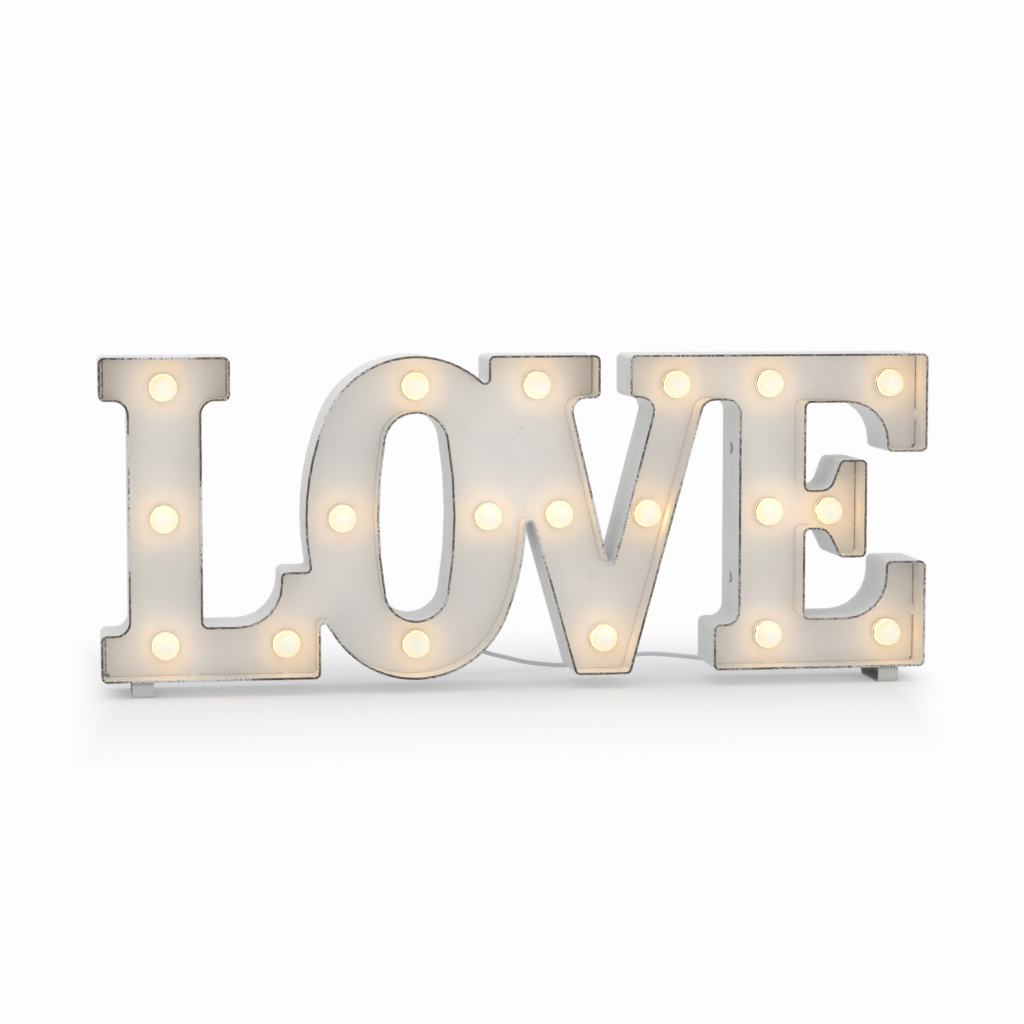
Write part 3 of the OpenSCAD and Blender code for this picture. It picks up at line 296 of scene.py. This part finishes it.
def band_paint():
    """White paint on the bands, stained and rubbed through to brown dots along the front rim."""
    made, tree, shader = material("band_paint", PAINT, 0.5)
    where = place(tree)
    depth = calc(tree, "SUBTRACT", axis_of(tree, where, "Y"), FRONT_Y)
    paint = mottled(tree, where, PAINT, PAINT_COOL)
    ragged = ramp(tree, noise(tree, where, RAGGED_GRAIN, 2), 0.3, 0.7, -RAGGED, RAGGED)
    near = ramp(tree, calc(tree, "ADD", depth, ragged), WEAR_FULL, WEAR_END, 1, 0)
    rubbed = 0.0
    for x, z, reach, amount in RUBBED:
        point = (x * MM, FRONT_Y, z * MM)
        rubbed = calc(tree, "ADD", rubbed, near_point(tree, where, point, reach * MM, amount))
    stain = calc(tree, "MULTIPLY", near, ramp(tree, rubbed, -0.15, 0.0, STAIN_LEAST, STAIN_MOST))
    stained = mix(tree, stain, paint, STAIN)
    # Painted shade in the stops' pockets and painted shadow along their edges
    stained = mix(tree, stop_painted_shade(tree, where), stained, WORN_DARK_AND_SHADE)
    patches = ramp(tree, noise(tree, where, PATCH_GRAIN, 2), 0.36, 0.6, -0.05, 0.05)
    worn = calc(tree, "ADD", calc(tree, "ADD", noise(tree, where, DOT_GRAIN, 1), patches), rubbed)
    mask = calc(tree, "MULTIPLY", near, ramp(tree, worn, WORN_FROM, WORN_TO))
    rust = mix(tree, noise(tree, where, RUST_GRAIN, 2), WORN, WORN_DARK_AND_SHADE)
    paint_socket(tree, shader, "Base Color", mix(tree, mask, stained, rust))
    paint_socket(tree, shader, "Roughness", ramp(tree, mask, 0, 1, 0.48, 0.85))
    chip = calc(tree, "SUBTRACT", noise(tree, where, PEEL_GRAIN, 3), calc(tree, "MULTIPLY", mask, 1.2))
    bump(tree, shader, chip, PEEL_DEPTH, 0.4)
    return made


# Ends of the letters where shade is painted on the panel: band, whether it is the right end, and the amount
# of painted shade
ENDS_IN_SHADE = [
    ("band_l_upper", False, 0.4), ("band_l_upper", True, 0.25), ("band_l_lower", False, 0.15),
    ("band_v_serif", True, 0.4), ("band_e_upper", True, 0.2), ("band_e_middle", True, 0.2),
    ("band_e_lower", True, 0.2),
]

# The painted shadow line inside those ends, its painted shade spot in the corner, and the reach of the
# painted shade from it and from the top
LEFT_LINE = 3.4 * MM
RIGHT_LINE = 0.9 * MM
LINE_HALF = 0.4 * MM
LINE_FADE = 1.0 * MM
END_SHADE_REACH = 26 * MM
END_SHADE_TOP = 40 * MM
END_SHADE_STOP = 75 * MM
CORNER_UP = 1.5 * MM
CORNER_REACH = 3.2 * MM


def shaded_ends():
    """Upright edges of the panel where the shadow in the gap to the band is painted: x, low z, high z and
    amount of painted shade.
    """
    ends = []
    for band, at_right, end_shade in ENDS_IN_SHADE:
        low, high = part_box(band)
        x = high.x - RIGHT_LINE if at_right else low.x + LEFT_LINE
        ends.append((x, low.z, high.z, end_shade))
    return ends


# Small scuffs on the panel: x, z and reach, in millimetres
SCUFFS = [
    (-196.7, 30.3, 5), (29.6, 204.1, 4), (3.3, 184.1, 9), (56, 78.5, 7), (45, 71.5, 1.6), (86.7, 90.5, 1.6),
]


def panel_paint():
    """Matt paint on the face panel, with painted shade in the gaps at its ends and spreading from its dim
    ends, and a few small scuffs.
    """
    made, tree, shader = material("panel_paint", PAINT, 0.6)
    where = place(tree)
    x = axis_of(tree, where, "X")
    z = axis_of(tree, where, "Z")
    painted_shade = 0.0
    end_shade = 0.0
    for end, low, high, amount in shaded_ends():
        away = calc(tree, "ABSOLUTE", calc(tree, "SUBTRACT", x, end))
        inside = between(tree, z, low - LINE_FADE, low, high, high + LINE_FADE)
        # Painted shadow line along the gap to the band
        line = calc(tree, "MULTIPLY", ramp(tree, away, LINE_HALF, LINE_FADE, 1, 0), inside)
        # Painted shade spreading from the end, fading downward
        cloud = calc(tree, "MULTIPLY", ramp(tree, away, 0, END_SHADE_REACH, amount, 0), inside)
        cloud = calc(tree, "MULTIPLY", cloud, ramp(tree, z, high - END_SHADE_STOP, high - END_SHADE_TOP))
        end_shade = calc(tree, "MAXIMUM", end_shade, cloud)
        # Painted shade spot in the lower corner
        corner = near_point(tree, where, (end, PANEL_Y, low + CORNER_UP), CORNER_REACH, 1.0)
        painted_shade = calc(tree, "MAXIMUM", painted_shade, calc(tree, "MAXIMUM", line, corner))
    painted_shade = calc(tree, "MULTIPLY", painted_shade, ramp(tree, noise(tree, where, LINE_SHADE_GRAIN, 2), 0.3, 0.6, 0.2, 0.85))
    scuff = 0.0
    for at_x, at_z, reach in SCUFFS:
        spot = near_point(tree, where, (at_x * MM, PANEL_Y, at_z * MM), reach * MM, 1.0)
        scuff = calc(tree, "MAXIMUM", scuff, spot)
    streaks = noise(tree, stretched(tree, where, (1.0, 1.0, 0.35)), STREAK_GRAIN, 2)
    scuff = calc(tree, "MULTIPLY", scuff, ramp(tree, streaks, 0.58, 0.7, 0, 0.4))
    paint = mix(tree, end_shade, mottled(tree, where, PAINT, PAINT_COOL), END_SHADE_TONE)
    # Painted shade in the gaps and corners, and the real scuffs, in one dark colour
    paint_socket(tree, shader, "Base Color", mix(tree, calc(tree, "MAXIMUM", painted_shade, scuff), paint, SHADE_AND_SCUFF))
    orange_peel(tree, shader, where)
    return made


COVER_WHITE = (0.76, 0.76, 0.745)
COVER_DULL = (0.72, 0.72, 0.71)


def cover_paint():
    made, tree, shader = material("cover_paint", COVER_WHITE, 0.55)
    where = place(tree)
    paint_socket(tree, shader, "Base Color", mottled(tree, where, COVER_WHITE, COVER_DULL))
    orange_peel(tree, shader, where)
    return made


FOOT_GREY = (0.60, 0.60, 0.575)
FOOT_DULL = (0.56, 0.56, 0.54)
# Dark of the cut ends, partly bare steel and partly painted shade; then painted shade for the inside of the
# strip loop
FOOT_CUT_AND_SHADE = (0.15, 0.15, 0.14)
FOOT_INSIDE_SHADE = (0.33, 0.345, 0.31)
FOOT_STRIP = 1.4 * MM
FOOT_SOFT = 0.1 * MM


def foot_paint():
    """Grey paint outside, painted shade inside the bent strip, and dark cut ends, partly bare steel and
    partly painted shade.
    """
    made, tree, shader = material("foot_paint", FOOT_GREY, 0.45)
    where = place(tree)
    low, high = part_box("foot_left")
    # Painted shade over the inside faces of the bent strip loop
    inside = 1.0
    for axis, start, stop in (("Y", low.y, high.y), ("Z", low.z, high.z)):
        at = axis_of(tree, where, axis)
        near = start + FOOT_STRIP
        far = stop - FOOT_STRIP
        hollow = between(tree, at, near, near + FOOT_SOFT, far - FOOT_SOFT, far)
        inside = calc(tree, "MULTIPLY", inside, hollow)
    # Faces across X darkened, as bare cut steel and as painted shade
    cut_and_shade = ramp(tree, calc(tree, "ABSOLUTE", facing_x(tree)), 0.5, 0.9)
    paint = mottled(tree, where, FOOT_GREY, FOOT_DULL)
    paint = mix(tree, cut_and_shade, paint, FOOT_CUT_AND_SHADE)
    paint_socket(tree, shader, "Base Color", mix(tree, inside, paint, FOOT_INSIDE_SHADE))
    orange_peel(tree, shader, where)
    return made


def plated(name):
    """Plated steel with a patchy polish."""
    made, tree, shader = material(name, (0.62, 0.62, 0.61), 0.35, Metallic=1.0)
    where = place(tree)
    tone = noise(tree, where, METAL_GRAIN, 3)
    paint_socket(tree, shader, "Roughness", ramp(tree, tone, 0.3, 0.7, 0.28, 0.5))
    return made


# Glow of a globe from its front, at 0, past its widest part, at 0.53, to its neck, at 0.86. Its front is dim,
# and most light leaves sideways, round the widest part.
FROST = (0.82, 0.79, 0.71)
GLOW_STRENGTH = 8.0
GLOW = [
    (0.00, (0.031, 0.031, 0.025)),
    (0.135, (0.047, 0.041, 0.023)),
    (0.30, (0.060, 0.045, 0.024)),
    (0.43, (0.070, 0.048, 0.022)),
    (0.48, (0.810, 0.450, 0.140)),
    (0.63, (0.810, 0.450, 0.140)),
    (0.68, (0.080, 0.045, 0.014)),
    (0.86, (0.080, 0.045, 0.014)),
]


def globe_frosted():
    """Frosted globe that glows cream in front, and stronger and warmer round its widest part."""
    made, tree, shader = material("globe_frosted", FROST, 0.4, Emission_Strength=GLOW_STRENGTH)
    where = place(tree)
    low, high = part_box(GLOBES[0])
    depth = calc(tree, "SUBTRACT", axis_of(tree, where, "Y"), low.y)
    share = calc(tree, "DIVIDE", depth, high.y - low.y)
    glow = add(tree, "ShaderNodeValToRGB", {"Fac": share})
    stops = glow.color_ramp.elements
    for position, _ in GLOW[1:-1]:
        stops.new(position)
    for stop, (position, color) in zip(stops, GLOW):
        stop.position = position
        stop.color = (*color, 1)
    paint_socket(tree, shader, "Emission Color", glow.outputs["Color"])
    bump(tree, shader, noise(tree, where, FROST_GRAIN, 2), FROST_DEPTH, 0.3)
    return made


# Collars under the globes: their painted glow, their colours with painted shade for the gap and the base, and
# how deep the slots and the painted shade line at the base lie
HOLDER_PAINTED_GLOW = 0.38
HOLDER_PAINTED_LIGHT = (1.0, 0.74, 0.36)
HOLDER_CREAM = (0.74, 0.68, 0.54)
HOLDER_DULL = (0.70, 0.63, 0.48)
HOLDER_BASE_SHADE = (0.36, 0.25, 0.16)
HOLDER_GAP_SHADE = (0.05, 0.032, 0.012)
BLACK = (0.0, 0.0, 0.0)
SLOTS = (0.9 * MM, 1.3 * MM, 1.45 * MM, 1.5 * MM)
BASE_SHADE_START = 2.3 * MM
BASE_SHADE_FULL = 3.0 * MM


def holder_plastic():
    """Cream plastic with a faint painted glow, painted shade as a dark broken gap under the globe and in the
    slots, and a line of painted shade at the panel.
    """
    made, tree, shader = material("holder_plastic", HOLDER_CREAM, 0.4, Emission_Strength=HOLDER_PAINTED_GLOW)
    where = place(tree)
    deep = calc(tree, "SUBTRACT", axis_of(tree, where, "Y"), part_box(HOLDERS[0])[0].y)
    # Painted shade: a dark broken gap on the front face under the globe, and darker slot floors
    face = ramp(tree, deep, 0.08 * MM, 0.16 * MM, 1, 0)
    broken = ramp(tree, noise(tree, where, GAP_SHADE_GRAIN, 1), 0.42, 0.5)
    gap_shade = calc(tree, "MULTIPLY", face, broken)
    slot = between(tree, deep, *SLOTS)
    gap_shade = calc(tree, "MAXIMUM", gap_shade, calc(tree, "MULTIPLY", slot, 0.5))
    cream = mix(tree, noise(tree, where, HOLDER_GRAIN, 2), HOLDER_CREAM, HOLDER_DULL)
    # Painted shade: a tan line at the collar's base, next to the panel
    base_shade = ramp(tree, deep, BASE_SHADE_START, BASE_SHADE_FULL, 0, 0.7)
    cream = mix(tree, base_shade, cream, HOLDER_BASE_SHADE)
    paint_socket(tree, shader, "Base Color", mix(tree, gap_shade, cream, HOLDER_GAP_SHADE))
    # Painted glow of the plastic, standing in for the LED's light through it, held off the painted shade
    glow = mix(tree, calc(tree, "MAXIMUM", gap_shade, base_shade), HOLDER_PAINTED_LIGHT, BLACK)
    paint_socket(tree, shader, "Emission Color", glow)
    return made


def plastic(name, color, roughness):
    """Moulded plastic with a fine surface grain."""
    made, tree, shader = material(name, color, roughness)
    where = place(tree)
    tone = noise(tree, where, PLASTIC_CLOUDS, 2)
    shade = tuple(0.93 * c for c in color)
    paint_socket(tree, shader, "Base Color", mix(tree, ramp(tree, tone, 0.35, 0.65), color, shade))
    bump(tree, shader, noise(tree, where, PLASTIC_GRAIN, 2), PLASTIC_DEPTH, 0.3)
    return made


LED_GLOW = 3.0


def led_epoxy():
    made, tree, shader = material("led_epoxy", (0.95, 0.85, 0.55), 0.15, Emission_Strength=LED_GLOW)
    where = place(tree)
    warm = mix(tree, noise(tree, where, LED_GRAIN, 1), (1.0, 0.72, 0.34), (1.0, 0.64, 0.26))
    paint_socket(tree, shader, "Emission Color", warm)
    return made


def woven(name, color):
    """Hook-and-loop strap with a fine weave."""
    made, tree, shader = material(name, color, 0.9)
    where = place(tree)
    inputs = {"Vector": where, "Scale": WEAVE_GRAIN, "Distortion": 2}
    weave = add(tree, "ShaderNodeTexWave", inputs).outputs["Fac"]
    paint_socket(tree, shader, "Base Color", mix(tree, weave, color, tuple(1.5 * c for c in color)))
    bump(tree, shader, weave, WEAVE_DEPTH, 0.6)
    return made


MATERIALS = {
    "band_paint": band_paint(),
    "panel_paint": panel_paint(),
    "cover_paint": cover_paint(),
    "foot_paint": foot_paint(),
    "zinc_steel": plated("zinc_steel"),
    "globe_frosted": globe_frosted(),
    "holder_plastic": holder_plastic(),
    "led_epoxy": led_epoxy(),
    "wire_insulation": plastic("wire_insulation", (0.82, 0.81, 0.78), 0.5),
    "cord_plastic": plastic("cord_plastic", (0.62, 0.615, 0.665), 0.4),
    "tie_plastic": woven("tie_plastic", (0.05, 0.05, 0.055)),
    "switch_plastic": plastic("switch_plastic", (0.80, 0.80, 0.81), 0.45),
    "plug_metal": plated("plug_metal"),
    "tongue_plastic": plastic("tongue_plastic", (0.88, 0.88, 0.88), 0.5),
}


# Meshes of the CAD nodes: joined points, crease angle, and the rolled edge of the hem
JOIN_WITHIN = 0.002 * MM
CREASE = math.radians(35)
RIM_ROUND = 0.6 * MM
RIM_STEPS = 3
RIM_WITHIN = 0.05 * MM
FLAT_WITHIN = math.radians(0.3)


def soft_edges():
    """A modifier group that joins coincident points and keeps only edges over the crease angle sharp."""
    group = bpy.data.node_groups.new("soft_edges", "GeometryNodeTree")
    group.interface.new_socket("Geometry", in_out="INPUT", socket_type="NodeSocketGeometry")
    group.interface.new_socket("Geometry", in_out="OUTPUT", socket_type="NodeSocketGeometry")
    start = add(group, "NodeGroupInput")
    points = {"Geometry": start.outputs[0], "Distance": JOIN_WITHIN}
    joined = add(group, "GeometryNodeMergeByDistance", points)
    rounded = add(group, "GeometryNodeSetShadeSmooth", {0: joined.outputs[0], 2: True}, domain="FACE")
    angle = add(group, "GeometryNodeInputMeshEdgeAngle").outputs[0]
    crease = calc(group, "GREATER_THAN", angle, CREASE)
    sharp = {0: rounded.outputs[0], 1: crease, 2: False}
    creased = add(group, "GeometryNodeSetShadeSmooth", sharp, domain="EDGE")
    add(group, "NodeGroupOutput", {0: creased.outputs[0]})
    return group


def rim_points(mesh):
    return {v.index: (round(v.co.x / MM, 2), round(v.co.z / MM, 2))
            for v in mesh.vertices if v.co.y < FRONT_Y + RIM_WITHIN}


def seam_points():
    """Rim points that two strips share."""
    counts = {}
    for name in BANDS:
        for point in set(rim_points(nodes[name].data).values()):
            counts[point] = counts.get(point, 0) + 1
    return {point for point, count in counts.items() if count > 1}


def round_rim(node, seams):
    """Rounds the two front edges of a band, and leaves its ends flat against the next strip."""
    mesh = node.data
    front = rim_points(mesh)
    faces = {}
    for face in mesh.polygons:
        for key in face.edge_keys:
            faces[key] = faces.get(key, 0) + 1
    weight = mesh.attributes.new("bevel_weight_edge", "FLOAT", "EDGE")
    for edge in mesh.edges:
        a, b = edge.vertices
        at_border = a in front and b in front and faces[edge.key] == 1
        if at_border and not (front[a] in seams and front[b] in seams):
            weight.data[edge.index].value = 1.0
    join = node.modifiers.new("joined", "WELD")
    join.merge_threshold = JOIN_WITHIN
    plain = node.modifiers.new("plain_faces", "DECIMATE")
    plain.decimate_type = "DISSOLVE"
    plain.angle_limit = FLAT_WITHIN
    bevel = node.modifiers.new("rolled_edge", "BEVEL")
    bevel.limit_method = "WEIGHT"
    bevel.width = RIM_ROUND
    bevel.segments = RIM_STEPS
    bevel.use_clamp_overlap = False
    bevel.loop_slide = False


def dress_nodes():
    """Gives every CAD node its material, and rounds the front rims of the bands."""
    group = soft_edges()
    seams = seam_points()
    for part in frame["record"]["subparts"]:
        node = nodes[part["node"]]
        node.data.materials.clear()
        node.data.materials.append(MATERIALS[part["material_slot"]])
        if "custom_normal" in node.data.attributes:
            node.data.attributes.remove(node.data.attributes["custom_normal"])
        if part["node"] in BANDS:
            round_rim(node, seams)
        node.modifiers.new("soft_edges", "NODES").node_group = group


# Lead: its thickness, the points of its free stretches and the shape of its coil, in millimetres and degrees
CORD_D = 3.3 * MM
RUN = [
    (-54, 51, 29.4), (-52.5, 58, 29), (-48, 63.6, 27.8), (-41, 67, 25.8), (-33, 68, 23),
    (-23, 67.6, 19.2), (-12.7, 67.2, 15.1), (3, 70.2, 10.6), (19, 74.2, 6.2), (36.7, 80.2, 3.1),
    (52.2, 85.5, 1.8), (72, 96.5, 1.8), (92, 116, 1.8), (105, 128, 1.8), (115, 134, 1.8),
    (123.5, 136, 1.8), (132, 134.6, 1.8), (145, 124.5, 1.8), (159.8, 108.4, 1.9), (166, 101.5, 2.3),
]
TAIL = [
    (198, 86, 13.8), (206, 84.8, 12.2), (214, 82.6, 9.4), (221, 80.7, 7.2), (226, 80.1, 6.2), (230, 80, 6),
]
END = [
    (280, 80, 6), (285, 80.6, 5.7), (289.5, 83.5, 5.2), (292.3, 88.5, 4.8), (293.2, 95, 4.4),
    (292.5, 102, 4.2), (289.8, 108.5, 4.1), (285, 113.6, 4.05), (279, 116.3, 4), (273, 117, 4),
]
COIL_AT = (190, 109)
COIL_LAYERS = 4
COIL_START = 222
COIL_TURN = 9 * 360 + 48
COIL_PITCH = 3.8
COIL_OUT_R = 22.9
COIL_BASE = 2.65
COIL_STEP = 7.5
LAYER_TURN = COIL_TURN / COIL_LAYERS


def eased(t):
    s = min(max(t, 0.0), 1.0)
    return s * s * (3 - 2 * s)


def coil_point(angle):
    """A point of the coil, which spirals in and out and climbs a layer at each reversal."""
    layer = min(int(angle / LAYER_TURN), COIL_LAYERS - 1)
    shrink = COIL_PITCH * (angle - layer * LAYER_TURN) / 360
    inner = COIL_OUT_R - COIL_PITCH * LAYER_TURN / 360
    radius = COIL_OUT_R - shrink if layer % 2 == 0 else inner + shrink
    climbs = sum(eased((angle - k * LAYER_TURN + 90) / 180) for k in range(1, COIL_LAYERS))
    turn = math.radians(COIL_START + angle)
    height = COIL_BASE + COIL_PITCH * climbs
    return (COIL_AT[0] + radius * math.cos(turn), COIL_AT[1] + radius * math.sin(turn), height)


def smooth(points, parts=6):
    """A Catmull-Rom curve through the points."""
    route = [Vector(p) for p in points]
    last = len(route) - 1
    made = []
    for i in range(last):
        a, b, c, d = route[max(i - 1, 0)], route[i], route[i + 1], route[min(i + 2, last)]
        for k in range(parts):
            t = k / parts
            made.append(0.5 * (2 * b + (c - a) * t + (2 * a - 5 * b + 4 * c - d) * t * t
                               + (3 * b - a - 3 * c + d) * t * t * t))
    made.append(route[last])
    return made


def cord_curve(name, points):
    """A round cord along points in millimetres."""
    data = bpy.data.curves.new(name, "CURVE")
    data.dimensions = "3D"
    data.bevel_depth = CORD_D / 2
    data.bevel_resolution = 4
    data.use_fill_caps = True
    spline = data.splines.new("POLY")
    spline.points.add(len(points) - 1)
    for point, at in zip(spline.points, points):
        point.co = (*(Vector(at) * MM), 1)
    spline.use_smooth = True
    piece = bpy.data.objects.new(name, data)
    bpy.context.scene.collection.objects.link(piece)
    data.materials.append(MATERIALS["cord_plastic"])
    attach(piece, "sign")
    return piece


def make_lead():
    """The lead from the gland through its coil to the switch, and the short end to the plug."""
    gland_low, gland_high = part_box("cord_gland")
    gland = (gland_low + gland_high) / 2
    start = (gland.x / MM, gland_high.y / MM, gland.z / MM)
    turns = int(COIL_TURN / COIL_STEP)
    coil = [coil_point(COIL_TURN * k / turns) for k in range(turns + 1)]
    into = Vector(RUN[-1]) + CORD_D / MM * (Vector(RUN[-1]) - Vector(RUN[-2])).normalized()
    out = Vector(TAIL[0]) - CORD_D / MM * (Vector(TAIL[1]) - Vector(TAIL[0])).normalized()
    points = smooth([start] + RUN) + [into] + coil + [out] + smooth(TAIL)
    lead = cord_curve("lead", points)
    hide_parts("cord_run", "cord_coil", "cord_tail")
    tip_points = smooth(END)
    tip = cord_curve("lead_end", tip_points)
    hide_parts("cord_end")


# Studio: the floor and its run-out to white, the sky, and the soft lights by name, power, spot and aim
FLOOR_HALF = 12.0
FLOOR_WHITE = 0.84
FLOOR_SEEN = 0.98
FLOOR_GLOW = 0.27
FLOOR_REACH = 0.3
FLOOR_ENDS = 0.02
FLOOR_END_RATE = 7.0
FLOOR_SLANT = 0.3
SKY = 0.395
SKY_SEEN = 0.985
LIGHT_WIDE = 2.6
LIGHT_HIGH = 2.0
SIGN_MIDDLE = (0, 0, 0.12)
LIGHTS = [
    ("top_light", 23.0, (-0.2, -0.35, 1.9), (-0.2, -0.685, 0)),
    ("front_light", 13.0, (-0.3, -2.6, 1.3), SIGN_MIDDLE),
    ("side_light", 7.0, (2.0, -1.5, 1.2), SIGN_MIDDLE),
]


def make_floor():
    """A pale floor, lit from below as a light table is, that keeps a soft shadow and runs out to white."""
    mesh = bpy.data.meshes.new("floor")
    corners = [(x * FLOOR_HALF, y * FLOOR_HALF, 0) for x, y in ((-1, -1), (1, -1), (1, 1), (-1, 1))]
    mesh.from_pydata(corners, [], [(0, 1, 2, 3)])
    floor = bpy.data.objects.new("floor", mesh)
    bpy.context.scene.collection.objects.link(floor)
    made, tree, shader = material("floor", (FLOOR_WHITE, FLOOR_WHITE, FLOOR_WHITE), 0.9)
    shader.inputs["Specular IOR Level"].default_value = 0.0
    where = place(tree)
    ends = cad_box[1].x - FLOOR_ENDS
    across = axis_of(tree, where, "X")
    slanted = calc(tree, "SUBTRACT", across, calc(tree, "MULTIPLY", axis_of(tree, where, "Y"), FLOOR_SLANT))
    beside = calc(tree, "SUBTRACT", calc(tree, "MAXIMUM", calc(tree, "ABSOLUTE", across), slanted), ends)
    ahead = calc(tree, "SUBTRACT", calc(tree, "ABSOLUTE", axis_of(tree, where, "Y")), BACK_Y)
    beside = calc(tree, "MULTIPLY", calc(tree, "MAXIMUM", beside, 0.0), FLOOR_END_RATE)
    away = calc(tree, "MAXIMUM", beside, calc(tree, "MAXIMUM", ahead, 0.0))
    pale = (FLOOR_SEEN, FLOOR_SEEN, FLOOR_SEEN, 1)
    white = add(tree, "ShaderNodeEmission", {"Color": pale, "Strength": 1.0})
    fade = ramp(tree, away, 0.0, FLOOR_REACH, FLOOR_GLOW, 1)
    both = add(tree, "ShaderNodeMixShader", {0: fade, 1: shader.outputs[0], 2: white.outputs[0]})
    tree.links.new(both.outputs[0], tree.nodes["Material Output"].inputs["Surface"])
    mesh.materials.append(made)


def make_world():
    """A soft even sky, seen as plain white."""
    world = bpy.data.worlds.new("studio")
    world.use_nodes = True
    tree = world.node_tree
    back = tree.nodes["Background"]
    back.inputs["Color"].default_value = (1, 1, 1, 1)
    path = add(tree, "ShaderNodeLightPath")
    seen = calc(tree, "MAXIMUM", path.outputs["Is Camera Ray"], path.outputs["Is Glossy Ray"])
    seen = calc(tree, "MAXIMUM", seen, path.outputs["Is Transmission Ray"])
    tree.links.new(ramp(tree, seen, 0, 1, SKY, SKY_SEEN), back.inputs["Strength"])
    bpy.context.scene.world = world


def soft_light(name, power, spot, aim):
    """A large soft light at a spot, turned to a point."""
    data = bpy.data.lights.new(name, "AREA")
    data.shape = "RECTANGLE"
    data.size = LIGHT_WIDE
    data.size_y = LIGHT_HIGH
    data.energy = power
    light = bpy.data.objects.new(name, data)
    light.location = spot
    light.rotation_euler = (Vector(aim) - Vector(spot)).to_track_quat("-Z", "Y").to_euler()
    light.visible_camera = False
    bpy.context.scene.collection.objects.link(light)


make_camera()
make_lead()
dress_nodes()
make_floor()
make_world()
for light in LIGHTS:
    soft_light(*light)
bpy.context.scene.view_settings.view_transform = "Standard"
